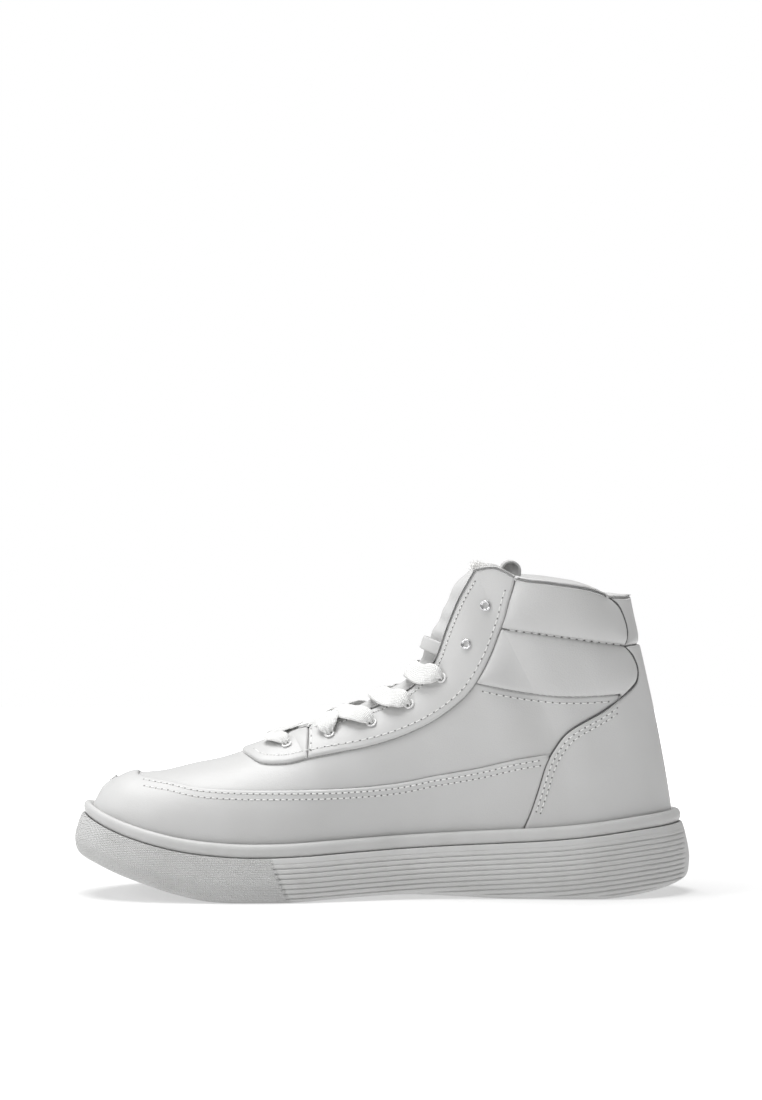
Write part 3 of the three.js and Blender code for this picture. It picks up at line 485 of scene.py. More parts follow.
class Paint:
    """A material under construction."""

    def __init__(self, name):
        self.material = bpy.data.materials.new(name)
        self.material.use_nodes = True
        self.tree = self.material.node_tree
        self.shader = self.tree.nodes["Principled BSDF"]

    def node(self, kind, settings=None, values=None, output=0):
        made = self.tree.nodes.new(kind)
        for key, value in (settings or {}).items():
            setattr(made, key, value)
        for key, value in (values or {}).items():
            self.feed(made.inputs[key], value)
        return Field(self, made.outputs[output])

    def feed(self, socket, value):
        if isinstance(value, Field):
            self.tree.links.new(value.socket, socket)
        else:
            socket.default_value = value

    def place(self):
        return self.node("ShaderNodeTexCoord", output="Object")

    def noise(self, scale, detail=3):
        values = {"Vector": self.place(), "Scale": scale, "Detail": detail}
        return self.node("ShaderNodeTexNoise", values=values)

    def cells(self, scale):
        return self.node("ShaderNodeTexVoronoi", values={"Vector": self.place(), "Scale": scale})

    def axis(self, name, place=None):
        return self.node("ShaderNodeSeparateXYZ", values={0: place or self.place()}, output=name)

    def blend_colours(self, factor, low, high):
        made = self.tree.nodes.new("ShaderNodeMix")
        made.data_type = "RGBA"
        self.feed(made.inputs[0], factor)
        self.feed(made.inputs[6], (*low, 1) if isinstance(low, tuple) else low)
        self.feed(made.inputs[7], (*high, 1) if isinstance(high, tuple) else high)
        return Field(self, made.outputs[2])

    def bump(self, height, distance, strength=1.0):
        values = {"Height": height, "Distance": distance, "Strength": strength}
        self.feed(self.shader.inputs["Normal"], self.node("ShaderNodeBump", values=values))

    def set(self, **values):
        for key, value in values.items():
            socket = self.shader.inputs[key.replace("_", " ")]
            self.feed(socket, (*value, 1) if isinstance(value, tuple) and len(value) == 3 else value)
        return self


def leather_paint(name, tone=0.62, grain=1.0):
    paint = Paint(name)
    pores = paint.cells(1500)
    wrinkles = paint.noise(260, 4)
    waves = paint.noise(38, 3)
    paint.bump(pores * 0.35 * grain + wrinkles * 0.5 * grain + waves * 1.6, 0.00022, 0.55)
    tint = paint.noise(24, 2).above(0.35, 0.7)
    light = (tone, tone, tone * 0.995)
    dark = (tone * 0.955, tone * 0.953, tone * 0.945)
    paint.set(Base_Color=paint.blend_colours(tint, light, dark), Roughness=wrinkles * 0.16 + 0.36)
    paint.shader.inputs["Specular IOR Level"].default_value = 0.42
    return paint.material


def fur_paint(name):
    paint = Paint(name)
    clumps = paint.noise(420, 5)
    patches = paint.noise(90, 3)
    paint.bump(clumps + patches * 1.5, 0.0011, 0.8)
    # the fur is darker where its clumps sink in the bump: painted shade between the clumps
    shade = clumps.above(0.3, 0.62)
    paint.set(Base_Color=paint.blend_colours(shade, (0.74, 0.735, 0.72), (0.93, 0.925, 0.91)), Roughness=0.95)
    paint.shader.inputs["Sheen Weight"].default_value = 0.4
    paint.shader.inputs["Sheen Roughness"].default_value = 0.5
    return paint.material


def strand_paint():
    paint = Paint("fur_strand")
    shade = paint.noise(300, 2).above(0.3, 0.7)
    paint.set(Base_Color=paint.blend_colours(shade, (0.88, 0.875, 0.86), (0.96, 0.955, 0.945)), Roughness=0.8)
    paint.shader.inputs["Sheen Weight"].default_value = 0.3
    return paint.material


HATCH_PITCH = 0.0016
HATCH_END = -0.0435
WEAVE_TURN = 2 * math.pi / 0.0016


def rubber_paint(name, hatch_end=None):
    """Satin white rubber; ahead of the slanted line at hatch_end it has a fine diamond texture."""
    paint = Paint(name)
    grain = paint.noise(1800, 3)
    height = grain * 0.10
    if hatch_end is not None:
        across = paint.axis("X")
        up = paint.axis("Z")
        turn = 2 * math.pi / HATCH_PITCH
        around = paint.axis("Y")
        along = across + around * 0.55
        rising = ((along + up) * turn).sine()
        falling = ((along - up) * turn).sine()
        toe = 1 - (across + up * 0.45).above(hatch_end - 0.0004, hatch_end + 0.0004)
        height = height + (rising * falling) * toe * 0.9
    paint.bump(height, 0.00035, 0.8)
    dust = paint.noise(60, 4).above(0.4, 0.8)
    colour = paint.blend_colours(dust, (0.6, 0.6, 0.595), (0.56, 0.56, 0.552))
    paint.set(Base_Color=colour, Roughness=grain * 0.12 + 0.46)
    return paint.material


def thread_paint():
    paint = Paint("thread")
    twist = paint.noise(3000, 2)
    paint.bump(twist, 0.0001, 0.6)
    # the thread is darker where its twist bump sinks: painted shade in its grooves
    paint.set(Base_Color=paint.blend_colours(twist, (0.82, 0.82, 0.81), (0.93, 0.93, 0.92)), Roughness=0.7)
    return paint.material


def hole_shade_paint():
    # a dark disc laid over each needle hole: painted shade inside the hole
    paint = Paint("needle_hole_shade")
    speck = paint.noise(2000, 2)
    paint.set(Base_Color=paint.blend_colours(speck, (0.16, 0.16, 0.155), (0.3, 0.3, 0.29)), Roughness=0.9)
    return paint.material


def metal_paint(name, colour, metallic, rough):
    paint = Paint(name)
    scratches = paint.noise(900, 4)
    worn = paint.blend_colours(scratches.above(0.45, 0.75), colour, tuple(c * 0.86 for c in colour))
    paint.bump(scratches, 0.00004, 0.3)
    paint.set(Base_Color=worn, Metallic=metallic, Roughness=scratches * 0.12 + rough)
    return paint.material


def woven_paint():
    """Flat lace: a diagonal weave that follows the lace by its own map, u along and v across."""
    paint = Paint("woven_lace")
    place = paint.node("ShaderNodeUVMap", {"uv_map": "weave"})
    along = paint.axis("X", place)
    across = paint.axis("Y", place)
    rising = ((along + across) * WEAVE_TURN).sine()
    falling = ((along - across) * WEAVE_TURN).sine()
    weave = rising * falling
    paint.bump(weave + paint.noise(2500, 2) * 0.6, 0.00022, 0.8)
    # the weave's low places are painted darker: painted shade between the yarns
    shade = weave.above(-0.9, 0.4)
    paint.set(Base_Color=paint.blend_colours(shade, (0.78, 0.78, 0.77), (0.9, 0.9, 0.89)), Roughness=0.85)
    paint.shader.inputs["Sheen Weight"].default_value = 0.25
    return paint.material


def plain_paint(name, low, high, scale, rough, bump=0.0002):
    paint = Paint(name)
    pattern = paint.noise(scale, 4)
    paint.bump(pattern, bump, 0.7)
    # the pattern sets tone and bump together: random tone, and darker where the bump sinks, which is painted
    # shade in its hollows
    colour = paint.blend_colours(pattern.above(0.35, 0.68), low, high)
    paint.set(Base_Color=colour, Roughness=pattern * 0.15 + rough)
    return paint.material


paints = {
    "leather": leather_paint("white_leather"),
    "soft_leather": leather_paint("soft_leather", 0.6, 1.5),
    "fur": fur_paint("plush_lining"),
    "strand": strand_paint(),
    "rubber": rubber_paint("sole_rubber", HATCH_END),
    "rand": rubber_paint("rand_rubber"),
    "thread": thread_paint(),
    "hole_shade": hole_shade_paint(),
    "steel": metal_paint("polished_steel", (0.78, 0.78, 0.79), 1.0, 0.16),
    "enamel": metal_paint("white_enamel", (0.84, 0.84, 0.835), 0.1, 0.28),
    "lace": woven_paint(),
    "aglet": plain_paint("clear_aglet", (0.86, 0.86, 0.86), (0.92, 0.92, 0.92), 300, 0.2, 0.00005),
    "foam": plain_paint("open_foam", (0.8, 0.77, 0.66), (0.88, 0.85, 0.76), 1200, 0.8, 0.0004),
    "board": plain_paint("fibre_board", (0.5, 0.38, 0.23), (0.66, 0.53, 0.35), 700, 0.8),
    # near-black and grey cords that paint the shade along the seams, the pale one a lighter seam shade
    "edge": plain_paint("seam_shade_cord", (0.09, 0.09, 0.09), (0.15, 0.15, 0.15), 900, 0.7),
    "pale_seam_shade": plain_paint("pale_seam_shade_cord", (0.3, 0.3, 0.3), (0.4, 0.4, 0.395), 900, 0.7),
    "stiffener": plain_paint("stiffener_sheet", (0.7, 0.67, 0.6), (0.78, 0.75, 0.68), 500, 0.6),
}


# ---------------------------------------------------------------- mesh helpers
def make_piece(name, points, faces, paint, body="shoe", replaced=()):
    mesh = bpy.data.meshes.new(name)
    mesh.from_pydata([tuple(p) for p in points], [], [tuple(f) for f in faces])
    mesh.materials.append(paints[paint])
    mesh.polygons.foreach_set("use_smooth", [True] * len(mesh.polygons))
    mesh.update()
    piece = bpy.data.objects.new(name, mesh)
    bpy.context.collection.objects.link(piece)
    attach(piece, body)
    if replaced:
        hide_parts(*replaced)
    return piece


def apply_modifier(piece, kind, **settings):
    bpy.ops.object.select_all(action="DESELECT")
    bpy.context.view_layer.objects.active = piece
    piece.select_set(True)
    modifier = piece.modifiers.new(kind.lower(), kind)
    for key, value in settings.items():
        setattr(modifier, key, value)
    bpy.ops.object.modifier_apply(modifier=modifier.name)
    piece.select_set(False)


def fix_normals(piece, drop_loose=False):
    bpy.ops.object.select_all(action="DESELECT")
    bpy.context.view_layer.objects.active = piece
    piece.select_set(True)
    bpy.ops.object.mode_set(mode="EDIT")
    bpy.ops.mesh.select_all(action="SELECT")
    if drop_loose:
        bpy.ops.mesh.delete_loose()
        bpy.ops.mesh.select_all(action="SELECT")
    bpy.ops.mesh.normals_make_consistent(inside=False)
    bpy.ops.object.mode_set(mode="OBJECT")
    piece.select_set(False)


def grid_faces(rows, columns, closed_columns=False):
    i = np.arange(rows - 1)[:, None]
    j = np.arange(columns if closed_columns else columns - 1)[None, :]
    k = (j + 1) % columns
    quads = np.stack(np.broadcast_arrays(i * columns + j, i * columns + k, (i + 1) * columns + k,
                                         (i + 1) * columns + j), -1)
    return quads.reshape(-1, 4)


def shell_faces(rows, columns):
    """Faces of a closed sheet: two layers of rows by columns points, one after the other, and their rim."""
    count = rows * columns
    layer = grid_faces(rows, columns)
    rim = np.concatenate([
        np.arange(columns), np.arange(1, rows) * columns + columns - 1,
        (rows - 1) * columns + np.arange(columns - 2, -1, -1), np.arange(rows - 2, 0, -1) * columns,
    ])
    following = np.roll(rim, -1)
    rim_faces = np.stack([rim, following, following + count, rim + count], -1)
    return np.vstack([layer[:, ::-1], layer + count, rim_faces])


def signed_distance(points, polygon):
    """Distance to the polygon's edge, positive inside."""
    result = np.full(len(points), np.inf)
    inside = np.zeros(len(points), bool)
    for a, b in zip(polygon, np.roll(polygon, -1, axis=0)):
        edge = b - a
        share = np.clip(((points - a) @ edge) / max(edge @ edge, 1e-18), 0, 1)
        result = np.minimum(result, np.linalg.norm(points - a - share[:, None] * edge, axis=1))
        if a[1] != b[1]:
            crossing = (a[1] > points[:, 1]) != (b[1] > points[:, 1])
            reach = (b[0] - a[0]) * (points[:, 1] - a[1]) / (b[1] - a[1]) + a[0]
            inside ^= crossing & (points[:, 0] < reach)
    return np.where(inside, result, -result)


def soft_distance(points, polygon):
    """Like the distance to the edge, but without a crease along the middle."""
    dense = []
    for a, b in zip(polygon, np.roll(polygon, -1, axis=0)):
        pieces = max(1, int(np.linalg.norm(b - a) / (2 * MM)))
        dense.append(a + (b - a) * np.linspace(0, 1, pieces, endpoint=False)[:, None])
    dense = np.vstack(dense)
    following = np.roll(dense, -1, axis=0)
    lengths = np.linalg.norm(following - dense, axis=1)
    centres = (following + dense) / 2
    total = np.zeros(len(points))
    for centre, length in zip(centres, lengths):
        total += length / np.maximum(np.linalg.norm(points - centre, axis=1), 0.5 * MM) ** 3
    return math.sqrt(2) / np.sqrt(total)


def split(values, faces, level):
    """Cut the triangles along column 0 of values == level; every column is interpolated."""
    field = values[:, 0] - level
    field[np.abs(field) < 1e-8] = 1e-8
    above = field > 0
    count = above[faces].sum(1)
    kept = faces[(count == 0) | (count == 3)]
    cut = faces[(count == 1) | (count == 2)]
    if not len(cut):
        return values, faces
    lone_above = above[cut].sum(1) == 1
    lone = np.argmax(above[cut] == lone_above[:, None], axis=1)
    rows = np.arange(len(cut))
    a, b, c = cut[rows, lone], cut[rows, (lone + 1) % 3], cut[rows, (lone + 2) % 3]
    edges = np.sort(np.concatenate([np.column_stack([a, b]), np.column_stack([a, c])]), axis=1)
    unique, inverse = np.unique(edges, axis=0, return_inverse=True)
    inverse = inverse.reshape(-1)
    share = field[unique[:, 0]] / (field[unique[:, 0]] - field[unique[:, 1]])
    fresh = values[unique[:, 0]] * (1 - share[:, None]) + values[unique[:, 1]] * share[:, None]
    fresh[:, 0] = level
    ab, ac = inverse[:len(cut)] + len(values), inverse[len(cut):] + len(values)
    new_faces = np.concatenate([
        np.column_stack([a, ab, ac]), np.column_stack([ab, b, c]), np.column_stack([ab, c, ac]),
    ])
    return np.vstack([values, fresh]), np.vstack([kept, new_faces])


def compact(values, faces):
    used, inverse = np.unique(faces, return_inverse=True)
    return values[used], inverse.reshape(-1, 3)


EDGE_LEVELS = (0.3 * MM, 0.7 * MM, 1.3 * MM)
PANEL_THICKNESS = 1.1 * MM
ROLL_ROWS = 9  # rows that carry a panel over the top edge
ROLL_LIFT = 0.35  # how high that roll stands, as a share of its radius
PAD_EDGE_RADIUS = 1.6 * MM
TINY = 1e-9


def panel_side(side, polygon, offset, step, around_limits, roll_to=None, swelling=False):
    """Points and triangles of one side's panel: the outline's inside, raised by offset(distance, soft)."""
    surface = surfaces[side]
    first, last = around_limits
    columns = np.flatnonzero((surface.around >= first - TINY) & (surface.around <= last + TINY))
    columns = np.unique(np.append(columns[::step], columns[-1]))
    rows = np.arange(len(surface.height))
    rows = np.unique(np.append(rows[::-step], rows[0]))
    points = surface.points[np.ix_(columns, rows)]
    normals = surface.normals[np.ix_(columns, rows)]
    distance = signed_distance(points[..., [0, 2]].reshape(-1, 2), polygon)
    soft = soft_distance(points[..., [0, 2]].reshape(-1, 2), polygon) if swelling else distance
    values = np.column_stack([distance, points.reshape(-1, 3), normals.reshape(-1, 3), soft])
    faces = grid_faces(len(columns), len(rows))
    triangles = np.vstack([faces[:, [0, 3, 2]], faces[:, [0, 2, 1]]])
    if side == "outer":
        triangles = triangles[:, ::-1]
    if roll_to is not None:
        # rows over the top edge, from the outside to the inside
        top = points[:, -1]
        top_distance = distance.reshape(len(columns), len(rows))[:, -1]
        top_soft = soft.reshape(len(columns), len(rows))[:, -1]
        raised = offset(top_distance, top_soft)
        up = unit(points[:, -1] - points[:, -2])
        normal = normals[:, -1]
        radius = np.maximum((raised - roll_to) / 2, 0.2 * MM)
        extra = []
        for k in range(1, ROLL_ROWS + 1):
            angle = math.pi * k / ROLL_ROWS
            lift = radius * ROLL_LIFT * math.sin(angle)
            shift = (raised + roll_to) / 2 + radius * math.cos(angle)
            place = top + up * lift[:, None] + normal * shift[:, None]
            turned = unit(normal * math.cos(angle) + up * math.sin(angle))
            extra.append(np.column_stack([top_distance, place - turned * raised[:, None], turned, top_soft]))
        start = len(values)
        values = np.vstack([values, *extra])
        count = len(columns)
        table = np.vstack([np.arange(count) * len(rows) + len(rows) - 1,
                           *[start + k * count + np.arange(count) for k in range(ROLL_ROWS)]])
        open_from = np.searchsorted(surface.around[columns], THROAT_START - TINY)
        table = table[:, open_from:]
        quads = np.stack([table[:-1, :-1], table[1:, :-1], table[1:, 1:], table[:-1, 1:]], -1).reshape(-1, 4)
        more = np.vstack([quads[:, [0, 1, 2]], quads[:, [0, 2, 3]]])
        triangles = np.vstack([triangles, more if side == "inner" else more[:, ::-1]])
    keep = values[:, 0][triangles].max(1) > 0
    values, triangles = compact(values, triangles[keep])
    for level in (0.0, *EDGE_LEVELS):
        values, triangles = split(values, triangles, level)
    triangles = triangles[values[:, 0][triangles].min(1) >= -TINY]
    values, triangles = compact(values, triangles)
    normals = unit(values[:, 4:7])
    raised = offset(values[:, 0], values[:, 7])
    return values[:, 1:4] + normals * raised[:, None], triangles


def rolled(high, low=0.1 * MM, radius=1.3 * MM):
    """A leather edge: full thickness inside, rounded down to low at the outline."""

    def offset(distance, soft):
        share = np.clip(1 - distance / radius, 0, 1)
        return low + (high - low) * np.sqrt(np.clip(1 - share * share, 0, 1))

    return offset


def puffed(edge, middle, reach):
    """A padded panel: low at its seams, swelling towards its middle."""
    edge_shape = rolled(edge, -0.6 * MM, PAD_EDGE_RADIUS)

    def offset(distance, soft):
        return edge_shape(distance, soft) + (middle - edge) * (1 - np.exp(-np.maximum(soft, 0) / reach))

    return offset


def weld(points, triangles):
    key = np.round(points / 2e-6).astype(np.int64)
    _, first, inverse = np.unique(key, axis=0, return_index=True, return_inverse=True)
    triangles = inverse.reshape(-1)[triangles]
    good = (triangles[:, 0] != triangles[:, 1]) & (triangles[:, 1] != triangles[:, 2])
    good &= triangles[:, 0] != triangles[:, 2]
    return points[first], triangles[good]


def panel(name, polygon, offset, sides=("inner", "outer"), step=2, around=(0, 1), paint="leather",
          replaced=(), roll_to=None):
    points, triangles = [], []
    swelling = paint == "soft_leather"
    for side in sides:
        side_points, side_triangles = panel_side(side, polygon, offset, step, around, roll_to, swelling)
        triangles.append(side_triangles + sum(len(p) for p in points))
        points.append(side_points)
    merged, faces = weld(np.vstack(points), np.vstack(triangles))
    piece = make_piece(name, merged, faces, paint, replaced=replaced)
    apply_modifier(piece, "SOLIDIFY", thickness=PANEL_THICKNESS, offset=-1.0, use_even_offset=False)
    return piece


# ---------------------------------------------------------------- seam lines of the side elevation
mudguard_top = elevation([
    (-118.7, 75), (-118.7, 57.5), (-110, 56.4), (-101.8, 55.6), (-89.3, 53.4), (-75, 52.6), (-51, 52.5),
    (-15.5, 53.3), (8.3, 55.5), (22.7, 58.4), (46.5, 62.6), (64.3, 66.8), (79.7, 69.3),
])
heel_panel_front = elevation([
    (60, 12), (67.9, 33), (71.4, 41.6), (74.9, 52.6), (78.6, 64.6), (83.3, 73), (89.3, 80.2), (105.8, 89.8),
    (113.5, 95.4),
])
pad_bottom = elevation([(44.9, 103.4), (58.3, 100.6), (70, 98.6), (88, 97), (106, 97.4), (114.5, 97.9)])
pad_seam = elevation([(50, 131), (57.2, 129.7), (87.2, 125.6), (117, 121), (121, 120.5)])
heel_pad_front = elevation([
    (113.5, 95.4), (119.5, 100.6), (121.9, 103.3), (122.8, 107.8), (121.9, 112.1), (119.1, 117.3), (116, 120.8),
])
heel_collar_front = elevation([
    (116, 120.8), (117.4, 123.7), (117.2, 129.4), (115.8, 134.3), (113.5, 139.2), (110.6, 142.5), (106, 146),
    (103, 152),
])
eyestay_rear = elevation([
    (-69, 80), (-69, 68.8), (-64.4, 67), (-59, 64.6), (-51.4, 64.2), (-43.8, 65), (-36, 67), (-20.8, 70),
    (-5.4, 73.3), (9.9, 78.2), (25.3, 85.8), (38, 95.5), (44.8, 103.7), (51.2, 115.8), (55.3, 126),
    (58.7, 135), (60.7, 143), (63.5, 153), (65, 165),
])
HEEL_PINCH = 120 * MM * scale_z
BRIDGE_SEAM = -36 * MM * scale_x


def smooth_line(line):
    return smooth_points(np.column_stack([line[:, 0], line[:, 0] * 0, line[:, 1]]), per_span=6)[:, [0, 2]]


mudguard_curve = np.vstack([mudguard_top[:1], smooth_line(mudguard_top[1:])])
heel_front_curve = smooth_line(heel_panel_front)
pad_bottom_curve = smooth_line(pad_bottom)
pad_seam_curve = smooth_line(pad_seam)
heel_pad_curve = smooth_line(heel_pad_front)
heel_collar_curve = smooth_line(heel_collar_front)
eyestay_curve = np.vstack([eyestay_rear[:1], smooth_line(eyestay_rear[1:])])


def corner(x, z):
    return elevation([(x, z)])


after_seam = eyestay_curve[eyestay_curve[:, 0] > BRIDGE_SEAM]
before_seam = eyestay_curve[eyestay_curve[:, 0] <= BRIDGE_SEAM]
upper_stay = eyestay_curve[eyestay_curve[:, 1] > 103.4 * MM * scale_z]

outlines = {
    "mudguard": np.vstack([
        corner(-170, -20), heel_front_curve[heel_front_curve[:, 1] < 69 * MM * scale_z],
        mudguard_curve[mudguard_curve[:, 0] < 78 * MM * scale_x][::-1], corner(-170, 75),
    ]),
    "heel_panel": np.vstack([
        heel_front_curve, heel_pad_curve[1:], [[0.17, HEEL_PINCH + 0.0008]], corner(170, -20),
    ]),
    "throat_bridge": np.vstack([[[BRIDGE_SEAM, 0.2]], before_seam, [[BRIDGE_SEAM, after_seam[0, 1]]]]),
    "facing": np.vstack([[[BRIDGE_SEAM, 0.2]], [[BRIDGE_SEAM, before_seam[-1, 1]]], after_seam]),
    "vamp": np.vstack([
        corner(-170, -20), corner(170, -20), [[0.17, HEEL_PINCH]], heel_pad_curve[::-1],
        pad_bottom_curve[::-1], upper_stay, corner(-170, 190),
    ]),
}


def clipped_pad(upper):
    """The pads' outline above or below the seam between them."""
    line = pad_seam_curve
    seam_height = np.interp(upper_stay[:, 0], line[:, 0], line[:, 1])
    at_front = upper_stay[np.argmin(np.abs(upper_stay[:, 1] - seam_height))]
    at_back = heel_pad_curve[-1]
    middle = line[(line[:, 0] > at_front[0]) & (line[:, 0] < at_back[0])]
    seam = np.vstack([at_front, middle, at_back])
    if upper:
        stay = upper_stay[upper_stay[:, 1] > at_front[1]]
        return np.vstack([seam[::-1], stay, corner(68, 200), corner(96, 200), heel_collar_curve[::-1]])
    stay = upper_stay[upper_stay[:, 1] <= at_front[1]]
    return np.vstack([pad_bottom_curve[::-1], stay, seam, heel_pad_curve[::-1][1:]])


outlines["collar_upper"] = clipped_pad(True)
outlines["collar_lower"] = clipped_pad(False)
outlines["heel_collar"] = np.vstack([
    [[0.17, HEEL_PINCH + 0.001]], heel_collar_curve, corner(96, 200), [[0.17, 0.2]],
])

# ---------------------------------------------------------------- upper
OVERLAY = 1.7 * MM
LINING = -4.9 * MM
PAD_REACH = 6 * MM  # distance from its seams over which a pad swells


def make_upper():
    flat = rolled(0.0, -0.8 * MM, 1.0 * MM)
    panel("vamp_leather", outlines["vamp"], flat, replaced=("vamp",), roll_to=-1.4 * MM)
    panel("mudguard_leather", outlines["mudguard"], rolled(OVERLAY), around=(0, 0.9), replaced=("mudguard",))
    panel("heel_leather", outlines["heel_panel"], rolled(OVERLAY), around=(0.62, 1), replaced=("heel_panel",))
    panel("bridge_leather", outlines["throat_bridge"], rolled(OVERLAY + 0.05 * MM), around=(0.2, 0.5), step=1,
          replaced=("throat_bridge",), roll_to=-1.2 * MM)
    for side, label in (("inner", "medial"), ("outer", "lateral")):
        panel(f"facing_leather_{label}", outlines["facing"], rolled(OVERLAY), sides=(side,),
              around=(0.3, 0.85), step=1, replaced=(f"eyestay_{label}",), roll_to=-2.2 * MM)
        upper = panel(f"collar_pad_upper_{label}", outlines["collar_upper"],
                      puffed(1.4 * MM, 5.6 * MM, PAD_REACH), sides=(side,), around=(0.6, 1), step=1,
                      paint="soft_leather", roll_to=LINING,
                      replaced=(f"collar_upper_{label}", f"collar_foam_{label}"))
        lower = panel(f"collar_pad_lower_{label}", outlines["collar_lower"],
                      puffed(1.4 * MM, 4.8 * MM, PAD_REACH), sides=(side,), around=(0.55, 1), step=1,
                      paint="soft_leather", replaced=(f"collar_lower_{label}",))
    heel = panel("heel_collar_pad", outlines["heel_collar"], puffed(0.8 * MM, 3.6 * MM, PAD_REACH),
                 around=(0.8, 1), step=1, paint="soft_leather", roll_to=LINING,
                 replaced=("heel_collar", "heel_collar_foam"))


make_upper()


# ---------------------------------------------------------------- sole
def outline_ring(offset, height, count, measured=None):
    half = np.linspace(0, 1, count // 2 + 1)
    rings = []
    for side in ("inner", "outer"):
        place = plan_point(side, half, np.full_like(half, offset))
        seen = place if measured is None else plan_point(side, half, np.full_like(half, measured))
        place[:, 2] = height(seen[:, 0])
        rings.append(place)
    return np.vstack([rings[0], rings[1][1:-1][::-1]])


CUP_LIP = feather_inset - 3.6 * MM
CUP_INSIDE = 2.3 * MM
RIB_PITCH = 2.35 * MM
RIB_DEPTH = 0.75 * MM
RIB_START = -50 * MM
RIB_END = 0.1475
RIB_BELOW_LIP = 2.2 * MM
SOLE_COUNT = 760  # points around the sole
SOLE_ROWS = 90
TREAD_COLUMNS = 64
TREAD_PITCH = 8.6 * MM
TREAD_DEPTH = 1.9 * MM
BEAD_COUNT = 500
BEAD_SIDES = 18


def wall_shape(share):
    """Offset of the sole wall from the upper's edge, share 0 at the ground and 1 at the lip."""
    knots = [0, 0.04, 0.12, 0.25, 0.42, 0.75, 0.93, 1]
    offsets = np.array([6.6, 8.6, 9.8, 10.3, 10.5, 8.9, 7.6, 6.9]) * MM
    dense = smooth_points(np.column_stack([knots, offsets, offsets * 0]), per_span=12)
    return np.interp(share, dense[:, 0], dense[:, 1])


def make_sole():
    count, rows = SOLE_COUNT, SOLE_ROWS
    lip = outline_ring(CUP_LIP, lip_line, count)
    bottom = outline_ring(feather_inset - 4.5 * MM, bottom_line, count)
    half = np.linspace(0, 1, count // 2 + 1)
    points = []
    for k in range(rows + 1):
        share = k / rows
        reach = float(wall_shape(np.array([share]))[0])
        ring = outline_ring(reach, bottom_line, count)
        height = bottom[:, 2] + (lip[:, 2] - bottom[:, 2]) * share
        below_lip = lip[:, 2] - height
        ring[:, 2] = height
        border = ring[:, 0] + (height - 0.01) * 0.45
        ribbed = np.clip((border - RIB_START) / (1.2 * MM), 0, 1)
        ribbed *= np.clip((RIB_END - ring[:, 0]) / (2 * MM), 0, 1)
        under_lip = np.clip((below_lip - RIB_BELOW_LIP) / (0.6 * MM), 0, 1)
        ribbed *= under_lip * np.clip((height - bottom[:, 2] - 1.6 * MM) / (0.6 * MM), 0, 1)
        phase = (below_lip - RIB_BELOW_LIP) / RIB_PITCH
        groove = np.clip(np.cos(2 * math.pi * phase) * 1.6 - 0.5, 0, 1)
        outwards = np.vstack([plan_normal("inner", half), plan_normal("outer", half)[1:-1][::-1]])
        ring -= outwards * (groove * ribbed * RIB_DEPTH)[:, None]
        points.append(ring)
    points.append(outline_ring(CUP_LIP - 0.5 * MM, lambda x: lip_line(x) + 0.35 * MM, count))
    points.append(outline_ring(CUP_LIP - 1.3 * MM, lambda x: lip_line(x) + 0.3 * MM, count))
    points.append(outline_ring(CUP_INSIDE, lip_line, count))
    points.append(outline_ring(CUP_INSIDE, lambda x: bottom_line(x) + 4 * MM, count, measured=0.0))
    rings = len(points)
    faces = [tuple(face) for face in grid_faces(rings, count, closed_columns=True)]
    flat = np.vstack(points)
    inner_floor = [(rings - 1) * count + i for i in range(count)]
    for i in range(count // 2):
        a, b = inner_floor[i], inner_floor[i + 1]
        c, d = inner_floor[(count - i - 1) % count], inner_floor[(count - i) % count]
        faces.append(tuple(dict.fromkeys((a, b, c, d))))
    # the tread: a grid across the sole with lugs between its grooves
    across = TREAD_COLUMNS
    first = points[0]
    start = len(flat)
    inner = first[:count // 2 + 1]
    outer = np.vstack([first[:1], first[count // 2:][::-1]])
    share = np.linspace(0, 1, across + 1)[None, 1:-1, None]
    tread = inner[:, None, :] * (1 - share) + outer[:, None, :] * share
    nearest = np.minimum(share[0, :, 0], 1 - share[0, :, 0])[None, :]
    edge = nearest * np.linalg.norm(outer - inner, axis=1)[:, None]
    wave = 3.2 * MM * np.abs((tread[..., 1] / (13 * MM)) % 2 - 1)
    chevron = ((tread[..., 0] + wave) / TREAD_PITCH) % 1
    bars = np.clip((np.abs(chevron - 0.5) - 0.17) / 0.06, 0, 1)
    rim = np.clip((edge - 4.5 * MM) / (1 * MM), 0, 1)
    rim *= np.clip((0.138 - np.abs(tread[..., 0])) / (3 * MM), 0, 1)
    deep = (1 - bars) * rim * TREAD_DEPTH
    tread[..., 2] = bottom_line(tread[..., 0]) + deep
    flat = np.vstack([flat, tread.reshape(-1, 3)])
    width = across - 1

    def tread_index(i, j):
        if j == 0 or i == 0 or i == count // 2:
            return i if j < across or i in (0, count // 2) else (count - i) % count
        return (count - i) % count if j == across else start + i * width + j - 1

    for i in range(count // 2):
        for j in range(across):
            face = tuple(dict.fromkeys(
                tread_index(i + down, j + right) for down, right in ((0, 0), (0, 1), (1, 1), (1, 0))))
            if len(face) > 2:
                faces.append(face)
    sole = make_piece("sole_cup", flat, faces, "rubber", replaced=("cupsole",))
    fix_normals(sole, drop_loose=True)

    section_points = []
    for k in range(BEAD_SIDES):
        angle = 2 * math.pi * k / BEAD_SIDES
        out = math.cos(angle)
        rise = math.sin(angle)
        section_points.append((3.75 * MM + 2.4 * MM * out, 3.5 * MM + 3.4 * MM * rise))
    rings = [
        outline_ring(offset, lambda x, rise=rise: lip_line(x) + rise * scale_z, BEAD_COUNT)
        for offset, rise in section_points
    ]
    bead_faces = grid_faces(len(rings) + 1, BEAD_COUNT, closed_columns=True) % (len(rings) * BEAD_COUNT)
    make_piece("rand_bead_strip", np.vstack(rings), bead_faces[:, ::-1], "rand",
               replaced=("rand_bead",))


make_sole()


